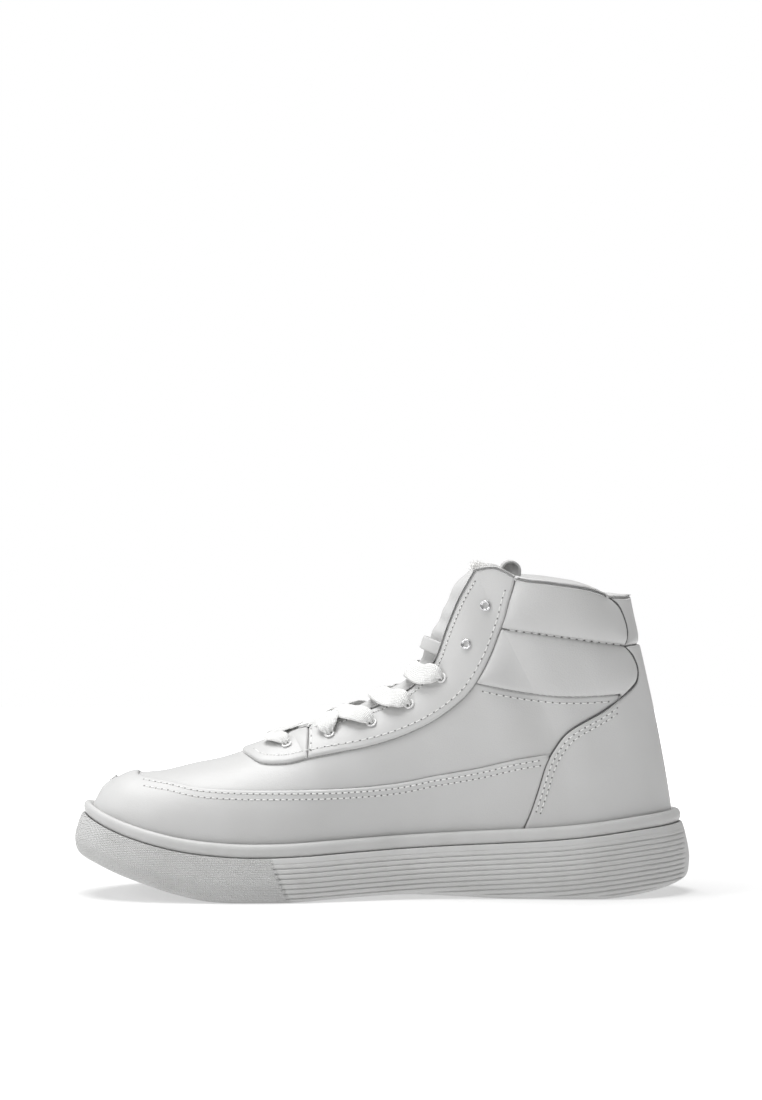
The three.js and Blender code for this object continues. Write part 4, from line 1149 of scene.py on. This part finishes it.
# ---------------------------------------------------------------- tongue
tongue_middle = Track(smooth_points(scaled([
    (-40, 0, 72), (-36, 0, 76.5), (-30, 0, 81.5), (-16.6, 0, 88.5), (0, 0, 96.5), (12, 0, 104), (18.7, 0, 113),
    (23.2, 0, 124), (28.5, 0, 134.5), (32, 0, 143), (36.5, 0, 151.5), (44, 0, 159),
])))
TONGUE_START = 0.1
TONGUE_UNDER = -9.5 * MM


def tongue_points(along, across):
    """Points of the tongue's face at every pair of the two lists of shares."""
    along = np.asarray(along, float)
    around = THROAT_START + (THROAT_END - THROAT_START) * (TONGUE_START + (1 - TONGUE_START) * along)
    around = np.clip(around, 0, THROAT_END)
    edges = {}
    for side in ("inner", "outer"):
        heights = np.array([0.8, 0.9, 1.0])
        a, h = np.meshgrid(around, heights, indexing="ij")
        edges[side] = surfaces[side].at(a, h) + surfaces[side].normal(a, h) * TONGUE_UNDER
    middle = tongue_middle.at(along)
    result = np.empty((len(along), len(across), 3))
    for i in range(len(along)):
        controls = np.vstack([edges["inner"][i], middle[i], edges["outer"][i][::-1]])
        dense = smooth_points(controls, per_span=24)
        place = np.asarray(across) * (len(dense) - 1)
        for k in range(3):
            result[i, :, k] = np.interp(place, np.arange(len(dense)), dense[:, k])
    return result


def sheet_normals(grid):
    return unit(np.cross(np.gradient(grid, axis=0), np.gradient(grid, axis=1)))


def make_tongue():
    rows, columns = 120, 90
    along = np.linspace(0, 1, rows)
    across = np.linspace(0, 1, columns)
    grid = tongue_points(along, across)
    normals = sheet_normals(grid)
    edge = np.minimum(np.minimum(across, 1 - across)[None, :] * 46 * MM, (1 - along)[:, None] * 120 * MM)
    roll = np.sqrt(np.clip(1 - (1 - np.clip(edge / (3.4 * MM), 0, 1)) ** 2, 0, 1))
    creases = 0.3 * MM * np.sin(along * 55 + 3 * np.sin(along * 9))[:, None]
    swell = 1.5 * MM * np.sin(np.pi * across)[None, :] * np.sin(np.pi * np.clip(along * 1.02, 0, 1))[:, None]
    raised = (roll - 1) * 3.2 * MM + swell * 0.4 + creases * np.sin(np.pi * across)[None, :]
    face = grid + normals * raised[..., None]
    back = grid + normals * (-5.4 * MM - roll * 3.0 * MM)[..., None]
    middle_layer = 0.5 * (face + back)
    points = np.vstack([face.reshape(-1, 3), middle_layer.reshape(-1, 3)])
    faces = shell_faces(rows, columns)
    leather = make_piece("tongue_leather", points, faces, "soft_leather", body="tongue",
                         replaced=("tongue_face", "tongue_foam"))
    fix_normals(leather)
    lumps = rng.random((rows, columns)) * 0.7 * MM
    front_of_fur = middle_layer - normals * 0.15 * MM
    fur_back = back - normals * lumps[..., None]
    points = np.vstack([front_of_fur.reshape(-1, 3), fur_back.reshape(-1, 3)])
    fur = make_piece("tongue_plush", points, faces, "fur", body="tongue",
                     replaced=("tongue_lining",))
    fix_normals(fur)
    return grid, normals


tongue_grid, tongue_normals = make_tongue()


# ---------------------------------------------------------------- lining inside the shaft
LINING_FRONT = -112 * MM * scale_x


def make_lining():
    for side, label in (("inner", "medial"), ("outer", "lateral")):
        surface = surfaces[side]
        # the lining starts behind the toe's tightest curve
        columns = np.arange(0, len(surface.around), 2)
        columns = columns[surface.points[columns, -1, 0] > LINING_FRONT]
        rows = np.arange(0, len(surface.height), 2)
        rows = np.unique(np.append(rows, len(surface.height) - 1))
        points = surface.points[np.ix_(columns, rows)]
        normals = surface.normals[np.ix_(columns, rows)]
        pile = rng.random(points.shape[:2]) * 1.1 * MM
        pile[0] = pile[-1] = 0.5 * MM
        outside = points + normals * -3.3 * MM
        inside = points + normals * (-4.6 * MM - pile)[..., None]
        replaced = (f"quarter_lining_{label}",) + (("forefoot_lining",) if side == "inner" else ())
        piece = make_piece(
            f"plush_lining_{label}", np.vstack([outside.reshape(-1, 3), inside.reshape(-1, 3)]),
            shell_faces(len(columns), len(rows)), "fur", replaced=replaced)
        fix_normals(piece)


make_lining()


# ---------------------------------------------------------------- fur strands
HAIR = 0.34 * MM


def strands(name, roots, directions, length, width, body, spread=0.6):
    """Short curved hairs, each a thin three-sided spike."""
    count = len(roots)
    lean = unit(directions + rng.normal(0, spread, (count, 3)))
    curl = unit(np.cross(lean, rng.normal(0, 1, (count, 3))))
    across = unit(np.cross(lean, curl))
    size = length * rng.uniform(0.55, 1.25, count)[:, None]
    bow = curl * size * rng.uniform(0.15, 0.5, count)[:, None]
    half = width * 0.5
    levels = [
        (roots - lean * 0.5 * MM, half), (roots + lean * size * 0.5 + bow * 0.25, half * 0.8),
        (roots + lean * size * 0.85 + bow * 0.75, half * 0.35),
    ]
    points = []
    for centre, reach in levels:
        for k in range(3):
            angle = 2 * math.pi * k / 3
            points.append(centre + (curl * math.cos(angle) + across * math.sin(angle)) * reach)
    points = np.stack(points, 1)
    local = []
    for level in range(2):
        for k in range(3):
            n = (k + 1) % 3
            local.append((level * 3 + k, level * 3 + n, level * 3 + 3 + n, level * 3 + 3 + k))
    local = np.array(local)
    faces = (local[None] + (np.arange(count) * 9)[:, None, None]).reshape(-1, 4)
    caps = np.array([(2, 1, 0), (6, 7, 8)])
    cap_faces = (caps[None] + (np.arange(count) * 9)[:, None, None]).reshape(-1, 3)
    all_faces = [tuple(f) for f in faces] + [tuple(f) for f in cap_faces]
    return make_piece(name, points.reshape(-1, 3), all_faces, "strand", body=body)


def make_fur():
    rows, columns = tongue_grid.shape[:2]
    # along the tongue's free top and upper sides, where the plush stands past the leather
    picks, ways = [], []
    for _ in range(5200):
        if rng.random() < 0.45:
            i, j = rows - 1 - int(rng.integers(0, 3)), int(rng.integers(6, columns - 6))
            way = unit(tongue_grid[-1, j] - tongue_grid[-4, j])
        else:
            i = int(rng.integers(int(rows * 0.5), rows))
            j = int(rng.integers(0, 8)) if rng.random() < 0.5 else columns - 1 - int(rng.integers(0, 8))
            way = unit(tongue_grid[i, 0 if j < 45 else -1] - tongue_grid[i, 6 if j < 45 else -7])
        picks.append(tongue_grid[i, j] - tongue_normals[i, j] * rng.uniform(2.6, 7.5) * MM)
        ways.append(way + tongue_normals[i, j] * rng.uniform(-0.3, 0.5))
    strands("tongue_fringe", np.array(picks), np.array(ways), 3.4 * MM, HAIR, "tongue")
    picks, ways = [], []
    for _ in range(8000):
        if rng.random() < 0.5:
            i, j = rows - 1 - int(rng.integers(0, 2)), int(rng.integers(2, columns - 2))
            way = unit(tongue_grid[-1, j] - tongue_grid[-4, j])
        else:
            i = int(rng.integers(int(rows * 0.55), rows))
            at_start = rng.random() < 0.5
            j = int(rng.integers(0, 4)) if at_start else columns - 1 - int(rng.integers(0, 4))
            way = unit(tongue_grid[i, 0 if at_start else -1] - tongue_grid[i, 6 if at_start else -7])
        picks.append(tongue_grid[i, j] - tongue_normals[i, j] * rng.uniform(0.5, 4.5) * MM)
        ways.append(way * 0.8 + tongue_normals[i, j] * rng.uniform(0.1, 1.3))
    strands("tongue_rim_fur", np.array(picks), np.array(ways), 4.2 * MM, 0.36 * MM, "tongue", 0.45)
    # a line of pile where the lining meets the collar's top and the facing's edge
    for side, label in (("inner", "medial"), ("outer", "lateral")):
        count = 3600
        around = rng.uniform(0.45, 1, count)
        height = 1 - rng.uniform(0, 0.10, count) ** 1.3
        surface = surfaces[side]
        roots = surface.at(around, height) + surface.normal(around, height) * -5.0 * MM
        up = unit(surface.at(around, np.ones(count)) - surface.at(around, np.full(count, 0.97)))
        strands(f"collar_pile_{label}", roots, up * 0.7 - surface.normal(around, height) * 0.7, 2.4 * MM,
                HAIR, "shoe")
        count = 4200
        around = rng.uniform(0.55, THROAT_END, count)
        height = np.ones(count) * 0.995
        normal = surface.normal(around, height)
        roots = surface.at(around, height) + normal * rng.uniform(-4.8, -2.4, count)[:, None] * MM
        over = unit(surface.at(around, np.ones(count)) - surface.at(around, np.full(count, 0.97)))
        over = over * 0.9 - normal * rng.uniform(-0.2, 0.9, count)[:, None]
        strands(f"throat_fur_{label}", roots, over, 3.4 * MM, HAIR, "shoe", 0.45)
        count = 5000
        around = rng.uniform(0.62, 1, count)
        height = rng.uniform(0.55, 0.97, count)
        roots = surface.at(around, height) + surface.normal(around, height) * -5.2 * MM
        strands(f"shaft_pile_{label}", roots, -surface.normal(around, height), 2.2 * MM, 0.4 * MM, "shoe")


make_fur()

# ---------------------------------------------------------------- eyelets
eyelet_places = elevation([
    (-46.1, 71.9), (-25.5, 77.2), (-5.2, 82.9), (13.2, 92), (29.1, 105.2), (40.6, 121.8), (49.7, 140.4),
])
LACED_ROWS = 5
side_label = {"inner": "medial", "outer": "lateral"}
other_side = {"inner": "outer", "outer": "inner"}
eyelet_shares = {side: surfaces[side].locate(eyelet_places) for side in surfaces}
# radius and height of the ring's section, from its foot over its rolled rim and back
RING_SECTION = (
    (1.35, -2.2), (1.7, -2.2), (1.7, 1.85), (2.1, 1.9), (2.5, 2.05), (2.6, 2.35), (2.4, 2.6), (2.05, 2.7),
    (1.65, 2.5), (1.42, 2.1), (1.35, 1.5), (1.35, -2.2),
)


def turned_onto(place, normal):
    turn = Vector((0, 0, 1)).rotation_difference(Vector(normal)).to_matrix().to_4x4()
    return Matrix.Translation(Vector(place)) @ turn


def settle(piece, placing):
    """Move the mesh, so that the object stays at the origin."""
    piece.data.transform(placing)
    piece.data.update()


def make_ring(name, paint, placing, replaced):
    bpy.ops.object.select_all(action="DESELECT")
    first_radius, first_height = RING_SECTION[0]
    bpy.ops.mesh.primitive_circle_add(vertices=28, radius=first_radius * MM, location=(0, 0, 0))
    piece = bpy.context.object
    bpy.ops.object.mode_set(mode="EDIT")
    bpy.ops.transform.translate(value=(0, 0, first_height * MM))
    for (r0, z0), (r1, z1) in zip(RING_SECTION, RING_SECTION[1:]):
        bpy.ops.mesh.extrude_region_move(TRANSFORM_OT_translate={"value": (0, 0, (z1 - z0) * MM)})
        bpy.ops.transform.resize(value=(r1 / r0, r1 / r0, 1))
    bpy.ops.mesh.select_all(action="SELECT")
    bpy.ops.mesh.remove_doubles(threshold=1e-5)
    bpy.ops.mesh.normals_make_consistent(inside=False)
    bpy.ops.mesh.faces_shade_smooth()
    bpy.ops.object.mode_set(mode="OBJECT")
    piece.name = name
    piece.data.name = name
    piece.data.materials.append(paints[paint])
    settle(piece, placing)
    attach(piece, "shoe")
    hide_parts(replaced)


def make_eyelets():
    for side, surface in surfaces.items():
        for row, (around, height) in enumerate(eyelet_shares[side]):
            placing = turned_onto(surface.at(around, height), surface.normal(around, height))
            label = f"{side_label[side]}_{row + 1}"
            paint = "enamel" if row < LACED_ROWS else "steel"
            make_ring(f"eyelet_ring_{label}", paint, placing, f"eyelet_{label}")


make_eyelets()


# ---------------------------------------------------------------- lace
LACE_HALF = 4.7 * MM
LACE_THICK = 1.15 * MM


def tongue_place(along, across):
    """A point and normal of the tongue's face."""
    i = along * (tongue_grid.shape[0] - 1)
    j = across * (tongue_grid.shape[1] - 1)
    i0, j0 = min(int(i), tongue_grid.shape[0] - 2), min(int(j), tongue_grid.shape[1] - 2)
    fi, fj = i - i0, j - j0
    place = (tongue_grid[i0, j0] * (1 - fi) + tongue_grid[i0 + 1, j0] * fi) * (1 - fj) + (
        tongue_grid[i0, j0 + 1] * (1 - fi) + tongue_grid[i0 + 1, j0 + 1] * fi) * fj
    return place, tongue_normals[i0, j0]


def off_surface(side, around, height, offset, half):
    surface = surfaces[side]
    normal = surface.normal(around, height)
    return surface.at(around, height) + normal * offset * MM, normal, half * MM


def lace_pass(side, row):
    """From the underside of one eyelet over the tongue and down into the other side's next eyelet."""
    (a0, h0), (a1, h1) = eyelet_shares[side][row], eyelet_shares[other_side[side]][row + 1]
    other = other_side[side]
    open_from = THROAT_START + 0.2 * (THROAT_END - THROAT_START)
    leaving = max(open_from, a0 * 0.55 + a1 * 0.45)
    arriving = max(open_from, a0 * 0.35 + a1 * 0.65)
    share = (a0 * 0.4 + a1 * 0.6 - THROAT_START) / (THROAT_END - THROAT_START)
    along = max(0.07, (share - TONGUE_START) / (1 - TONGUE_START))
    lift = 2.8 if side == "inner" else 4.6

    def on_tongue(across, rise, half):
        place, normal = tongue_place(along, across if side == "inner" else 1 - across)
        return place + normal * rise * MM, normal, half * MM

    return [
        off_surface(side, a0, h0, -5.6, 1.6),
        off_surface(side, leaving, (h0 + 1) / 2, -6.4, 3.2),
        off_surface(side, leaving, 0.995, -6.2, 4.2),
        on_tongue(0.38, 1.6, 4.6),
        on_tongue(0.52, lift, 4.7),
        off_surface(other, arriving, 0.999, 5.0, 5.3),
        off_surface(other, arriving * 0.5 + a1 * 0.5, (h1 + 1) / 2 + 0.01, 5.4, 5.3),
        off_surface(other, arriving * 0.16 + a1 * 0.84, h1 * 0.74 + 0.26, 4.9, 4.6),
        off_surface(other, a1, h1 + 0.004, 3.0, 2.0),
        off_surface(other, a1, h1, 0.4, 1.35),
        off_surface(other, a1, h1, -3.0, 1.35),
    ]


def lace_strand(start):
    knots = []
    side = start
    for row in range(LACED_ROWS - 1):
        knots += lace_pass(side, row)
        side = other_side[side]
    around, height = eyelet_shares[side][LACED_ROWS - 1]
    knots.append(off_surface(side, around, height, -5.8, 2.0))
    for row in range(LACED_ROWS - 1, 0, -1):
        around, height = eyelet_shares[side][row]
        knots.append(off_surface(side, around - 0.01, height - 0.075, -6.6, 3.4 if row > 1 else 1.3))
    return knots


def lace_knots():
    """Every knot of the lace from one aglet to the other: place, face normal and half width."""
    halves = {}
    for side in surfaces:
        around, height = eyelet_shares[side][0]
        first = [
            off_surface(side, around - 0.012, height * 0.45 + 0.55, 4.6, 4.9),
            off_surface(side, around - 0.003, height * 0.8 + 0.2, 4.2, 4.0),
            off_surface(side, around, height + 0.01, 3.0, 1.9),
            off_surface(side, around, height, 0.2, 1.35), off_surface(side, around, height, -3.2, 1.35),
        ]
        halves[side] = first + lace_strand(side)
    base = surfaces["inner"].at(THROAT_START + 0.012, 1.0)
    bar = (np.array([base[0] + 1.5 * MM, 0, base[2] + 4.6 * MM]), np.array([-0.35, 0, 0.94]), 4.8 * MM)
    return halves["inner"][::-1] + [bar] + halves["outer"]


def make_lace():
    knots = lace_knots()
    per_span = 9
    route = smooth_points(np.array([knot[0] for knot in knots]), per_span=per_span)
    place = np.linspace(0, len(knots) - 1, len(route))
    faces_up = np.array([knot[1] for knot in knots])
    halves = np.array([knot[2] for knot in knots])
    knot_index = np.arange(len(knots))
    normal = np.stack([np.interp(place, knot_index, faces_up[:, k]) for k in range(3)], -1)
    half = np.interp(place, knot_index, halves)
    half = np.convolve(np.pad(half, 4, mode="edge"), np.ones(9) / 9, mode="valid")
    tangent = unit(np.gradient(route, axis=0))
    # the face normal is carried smoothly along the lace
    normal = unit(normal - tangent * np.sum(normal * tangent, -1, keepdims=True) * 0.98)
    for _ in range(6):
        normal[1:-1] = unit(normal[:-2] + 2 * normal[1:-1] + normal[2:])
    normal = unit(normal - tangent * np.sum(normal * tangent, -1, keepdims=True))
    across = np.cross(tangent, normal)
    lengths = np.concatenate([[0], np.cumsum(np.linalg.norm(np.diff(route, axis=0), axis=1))])
    columns = 19
    v = np.linspace(-1, 1, columns)
    gathered = np.clip(1 - half / LACE_HALF, 0, 1)
    fold = gathered[:, None] * (1.15 * MM * np.cos(v * 4.4 * math.pi / 2 + 0.4)[None, :])
    cup = (0.35 * MM + 0.9 * MM * gathered)[:, None] * (v**2)[None, :] * -1
    ripple = 0.16 * MM * np.sin(lengths / (5.5 * MM))[:, None] * np.cos(v * 3)[None, :]
    thick = LACE_THICK * np.sqrt(np.clip(1 - v**6, 0.03, 1))[None, :] * (1 + 0.25 * gathered[:, None])
    middle = route[:, None, :] + across[:, None, :] * (half[:, None] * v[None, :])[..., None]
    middle = middle + normal[:, None, :] * (fold + cup + ripple)[..., None]
    top = middle + normal[:, None, :] * (thick / 2)[..., None]
    bottom = middle - normal[:, None, :] * (thick / 2)[..., None]
    ring = np.concatenate([top, bottom[:, ::-1]], axis=1)
    width = ring.shape[1]
    faces = grid_faces(len(ring), width, closed_columns=True)
    all_faces = [tuple(face) for face in faces]
    all_faces += [tuple(range(width)), tuple(range((len(ring) - 1) * width, len(ring) * width))]
    piece = make_piece("woven_lace", ring.reshape(-1, 3), all_faces, "lace", replaced=("lace",))
    weave = piece.data.uv_layers.new(name="weave")
    sheet = np.concatenate([v, v[::-1]]) * LACE_HALF
    where = np.empty(len(piece.data.loops), int)
    piece.data.loops.foreach_get("vertex_index", where)
    uv = np.column_stack([lengths[where // width], sheet[where % width]])
    weave.data.foreach_set("uv", uv.reshape(-1).astype(np.float32))
    fix_normals(piece)


make_lace()


# ---------------------------------------------------------------- keeper and pull tab on the tongue
def make_keeper():
    """A short leather band across the tongue, open above and below."""
    rows, columns = 7, 25
    along = np.linspace(0.622, 0.672, rows)
    across = np.linspace(0.33, 0.67, columns)
    points = []
    for a in along:
        for c in across:
            place, normal = tongue_place(a, c)
            rise = 0.7 + 2.2 * math.sin(math.pi * np.clip((c - 0.33) / 0.34, 0, 1)) ** 0.6
            points.append(place + normal * rise * MM)
    piece = make_piece("keeper_band", points, grid_faces(rows, columns)[:, ::-1], "leather", body="tongue",
                       replaced=("lace_keeper",))
    apply_modifier(piece, "SOLIDIFY", thickness=1.2 * MM, offset=0)
    apply_modifier(piece, "BEVEL", width=0.35 * MM, segments=2, limit_method="ANGLE")


TAB_FOOT = np.array([61.5 * MM * scale_x, 151 * MM * scale_z])


def make_pull_tab():
    """A folded leather strap behind the tongue's top."""
    angles = np.linspace(math.pi, 0, 17)
    radius, leg = 4.4 * MM, 6 * MM
    line = [(-radius, z) for z in np.linspace(0, leg, 5)[:-1]]
    line += [(radius * math.cos(a), leg + radius * math.sin(a)) for a in angles]
    line += [(radius, z) for z in np.linspace(leg, 0, 5)[1:]]
    lean = 0.12
    points = []
    columns = 13
    for x, z in line:
        for y in np.linspace(-9, 9, columns) * MM:
            points.append((TAB_FOOT[0] + x * math.cos(lean) + z * math.sin(lean), y,
                           TAB_FOOT[1] - x * math.sin(lean) + z * math.cos(lean)))
    faces = [tuple(face) for face in grid_faces(len(line), columns)[:, ::-1]]
    last = len(line) - 1
    for start in (1, columns - 2):
        for i in range(last // 2):
            corners_here = (i, i + 1, last - i - 1, last - i)
            face = tuple(dict.fromkeys(k * columns + start for k in corners_here))
            if len(face) > 2:
                faces.append(face)
    piece = make_piece("pull_loop", points, faces, "leather", body="pull_tab", replaced=("pull_tab",))
    apply_modifier(piece, "SOLIDIFY", thickness=1.2 * MM, offset=0)
    apply_modifier(piece, "BEVEL", width=0.4 * MM, segments=2, limit_method="ANGLE")


make_keeper()
make_pull_tab()


# ---------------------------------------------------------------- stitching
def shifted(line, distance):
    """The line moved sideways, to the left of its direction."""
    along = np.gradient(line, axis=0)
    along /= np.linalg.norm(along, axis=1, keepdims=True)
    return line + np.column_stack([-along[:, 1], along[:, 0]]) * distance


def spaced(line, spacing, start=0.0, end=0.0):
    """Evenly spaced places on a line of the side elevation."""
    lengths = np.concatenate([[0], np.cumsum(np.linalg.norm(np.diff(line, axis=0), axis=1))])
    along = np.arange(start + spacing / 2, lengths[-1] - end, spacing)
    return np.column_stack([np.interp(along, lengths, line[:, k]) for k in range(2)])


HOLE_SIDES = 8
HALF_THREAD = 0.26 * MM
HOLE = 0.42 * MM
# share of the stitch's length, height in mm and share of the thickness of each ring of a thread
THREAD_RINGS = ((0.12, -0.35, 0.5), (0.26, 0.12, 1.0), (0.74, 0.12, 1.0), (0.88, -0.35, 0.5))
ROW_MISS = 0.4 * MM  # a stitch further than this from its line is left out


def stitch_row(points, normals, thread_parts, hole_shade_parts):
    """Threads that dip into a needle hole at each point; each hole is a small dark disc, painted shade inside
    the hole.
    """
    for k, step in enumerate(np.diff(points, axis=0)):
        length = np.linalg.norm(step)
        along = step / length
        normal = unit(normals[k] + normals[k + 1])
        across = np.cross(along, normal)
        rings = []
        for share, lift, size in THREAD_RINGS:
            centre = points[k] + step * share + normal * lift * MM
            for turn in range(6):
                angle = turn * math.pi / 3
                reach = across * math.cos(angle) + normal * math.sin(angle)
                rings.append(centre + reach * HALF_THREAD * size)
        thread_parts.append(rings)
    for place, normal in zip(points, normals):
        along = unit(np.cross(normal, [0.3, 0.1, 0.9]))
        across = np.cross(normal, along)
        outer = []
        for radius, lift in ((HOLE, 0.045), (HOLE * 0.7, 0.06), (HOLE * 0.3, 0.03)):
            for turn in range(HOLE_SIDES):
                angle = turn * 2 * math.pi / HOLE_SIDES
                reach = along * math.cos(angle) + across * math.sin(angle)
                outer.append(place + normal * lift * MM + reach * radius)
        hole_shade_parts.append(outer)


def row_on_surface(side, places, offset):
    shares = surfaces[side].locate(places)
    found = surfaces[side].at(shares[:, 0], shares[:, 1])[:, [0, 2]]
    shares = shares[np.linalg.norm(found - places, axis=1) < ROW_MISS]
    normals = surfaces[side].normal(shares[:, 0], shares[:, 1])
    return surfaces[side].at(shares[:, 0], shares[:, 1]) + normals * offset, normals


def make_stitches():
    mudguard_row = mudguard_curve[1:]
    heel_row = heel_front_curve[heel_front_curve[:, 1] > 40 * MM * scale_z]
    eyestay_row = eyestay_curve[1:][eyestay_curve[1:, 1] < 152 * MM * scale_z]
    bridge_line = elevation([(-34.4, 68.5), (-34.4, 74), (-34.4, 79.5)])
    rows = [
        ("mudguard_rows", shifted(mudguard_row, -2.1 * MM), 3.0, OVERLAY, 2, 3),
        ("mudguard_rows", shifted(mudguard_row, -4.6 * MM), 3.0, OVERLAY, 3, 4),
        ("heel_rows", shifted(heel_row, -2.3 * MM), 3.0, OVERLAY, 1, 2),
        ("heel_rows", shifted(heel_row, -4.5 * MM), 3.0, OVERLAY, 1, 4),
        ("eyestay_row", shifted(eyestay_row, 3.0 * MM), 3.5, OVERLAY, 1, 1),
        ("eyestay_row", bridge_line, 3.0, OVERLAY, 0, 0),
        ("pad_row", shifted(pad_bottom_curve, -3.1 * MM), 3.4, 0.0, 2, 6),
        ("pad_groove", pad_seam_curve, 3.6, 0.9 * MM, 9, 5),
    ]
    groups = {}
    for name, line, spacing, offset, start, end in rows:
        for side in surfaces:
            places = spaced(line, spacing * MM, start * MM, end * MM)
            points, normals = row_on_surface(side, places, offset)
            threads, holes = groups.setdefault(name, ([], []))
            stitch_row(points, normals, threads, holes)
    threads, holes = groups.setdefault("throat_row", ([], []))
    for side, surface in surfaces.items():
        around = np.linspace(0.44, 0.712, 46)
        top = surface.at(around, np.ones_like(around))
        lower = surface.at(around, np.full_like(around, 0.9))
        height = 1 - 0.1 * 2.6 * MM / np.linalg.norm(top - lower, axis=1)
        normals = surface.normal(around, height)
        stitch_row(surface.at(around, height) + normals * OVERLAY, normals, threads, holes)
    tube = np.array([(level * 6 + k, level * 6 + (k + 1) % 6, level * 6 + 6 + (k + 1) % 6, level * 6 + 6 + k)
                     for level in range(3) for k in range(6)])
    disc = np.array([
        (level * HOLE_SIDES + k, level * HOLE_SIDES + (k + 1) % HOLE_SIDES,
         (level + 1) * HOLE_SIDES + (k + 1) % HOLE_SIDES, (level + 1) * HOLE_SIDES + k)
        for level in range(2) for k in range(HOLE_SIDES)
    ])
    hole_ends = (tuple(range(2 * HOLE_SIDES, 3 * HOLE_SIDES)), tuple(range(HOLE_SIDES))[::-1])
    for name, (threads, holes) in groups.items():
        for kind, parts, shape, ends, paint in (
            ("thread", threads, tube, ((5, 4, 3, 2, 1, 0), (18, 19, 20, 21, 22, 23)), "thread"),
            ("holes", holes, disc, hole_ends, "hole_shade"),
        ):
            faces, points = [], []
            for part in parts:
                faces += [tuple(face) for face in shape + len(points)]
                faces += [tuple(index + len(points) for index in end) for end in ends]
                points += part
            slot = "lining" if kind == "thread" else "leather"
            fix_normals(make_piece(f"{name}_{kind}", points, faces, paint))


make_stitches()


# ---------------------------------------------------------------- dark cords along the seams: painted seam shade
def make_seam_shade_cords():
    """Thin dark cords at the panels' edges, which paint the shade along the seams as darker seam lines."""
    low_heel = heel_front_curve[heel_front_curve[:, 1] > 40.5 * MM * scale_z]
    low_collar = heel_collar_curve[heel_collar_curve[:, 1] < 146 * MM * scale_z]
    low_stay = eyestay_curve[1:][eyestay_curve[1:, 1] < 152 * MM * scale_z]
    # name, line, height and radius in mm, paint
    lines = (
        ("heel_seam_shade", low_heel, 0.5, 0.55, "edge"), ("heel_wave_seam_shade", heel_pad_curve, 0.8, 0.75, "edge"),
        ("heel_collar_seam_shade", low_collar, 0.8, 0.75, "edge"),
        ("eyestay_seam_shade", low_stay, 0.25, 0.4, "pale_seam_shade"),
        ("mudguard_seam_shade", mudguard_curve[1:], 0.2, 0.25, "pale_seam_shade"),
        ("pad_seam_shade", pad_bottom_curve, 0.3, 0.45, "pale_seam_shade"),
    )
    sides = 8
    for name, line, lift, radius, paint in lines:
        points, faces = [], []
        for side in surfaces:
            places = spaced(line, 1.5 * MM)
            centres, normals = row_on_surface(side, places, lift * MM)
            along = unit(np.gradient(centres, axis=0))
            across = unit(np.cross(along, normals))
            start = len(points)
            order = np.arange(len(centres))
            taper = np.clip(np.minimum(order, order[::-1]) / 4, 0.15, 1)
            for centre, normal, side_way, size in zip(centres, normals, across, taper):
                for k in range(sides):
                    angle = 2 * math.pi * k / sides
                    reach = side_way * math.cos(angle) + normal * math.sin(angle)
                    points.append(centre + reach * radius * size * MM)
            tube = grid_faces(len(centres), sides, closed_columns=True) + start
            faces += [tuple(face) for face in tube]
            faces += [tuple(range(start, start + sides)), tuple(range(len(points) - sides, len(points)))]
        fix_normals(make_piece(name, points, faces, paint))


make_seam_shade_cords()


# ---------------------------------------------------------------- pieces inside the sole and the stiffeners
def make_inside():
    for node, paint in (("midsole_insert", "foam"), ("insole_board", "board"), ("shank", "steel"),
                        ("toe_puff", "stiffener"), ("heel_counter", "stiffener"), ("aglet_medial", "aglet"),
                        ("aglet_lateral", "aglet")):
        solid = bpy.data.objects[node]
        solid.data.materials.clear()
        solid.data.materials.append(paints[paint])
    bpy.ops.object.select_all(action="DESELECT")
    solid = bpy.data.objects["footbed"]
    mesh = solid.data.copy()
    mesh.materials.clear()
    mesh.materials.append(paints["fur"])
    piece = bpy.data.objects.new("footbed_plush", mesh)
    bpy.context.collection.objects.link(piece)
    bpy.context.view_layer.objects.active = piece
    piece.select_set(True)
    bpy.ops.object.mode_set(mode="EDIT")
    bpy.ops.mesh.select_all(action="SELECT")
    bpy.ops.mesh.remove_doubles(threshold=1e-5)
    bpy.ops.mesh.subdivide(number_cuts=3)
    bpy.ops.mesh.faces_shade_smooth()
    bpy.ops.object.mode_set(mode="OBJECT")
    piece.select_set(False)
    for vertex in piece.data.vertices:
        vertex.co.z -= float(rng.random()) * 0.7 * MM
    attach(piece, "footbed")
    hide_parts("footbed")


make_inside()
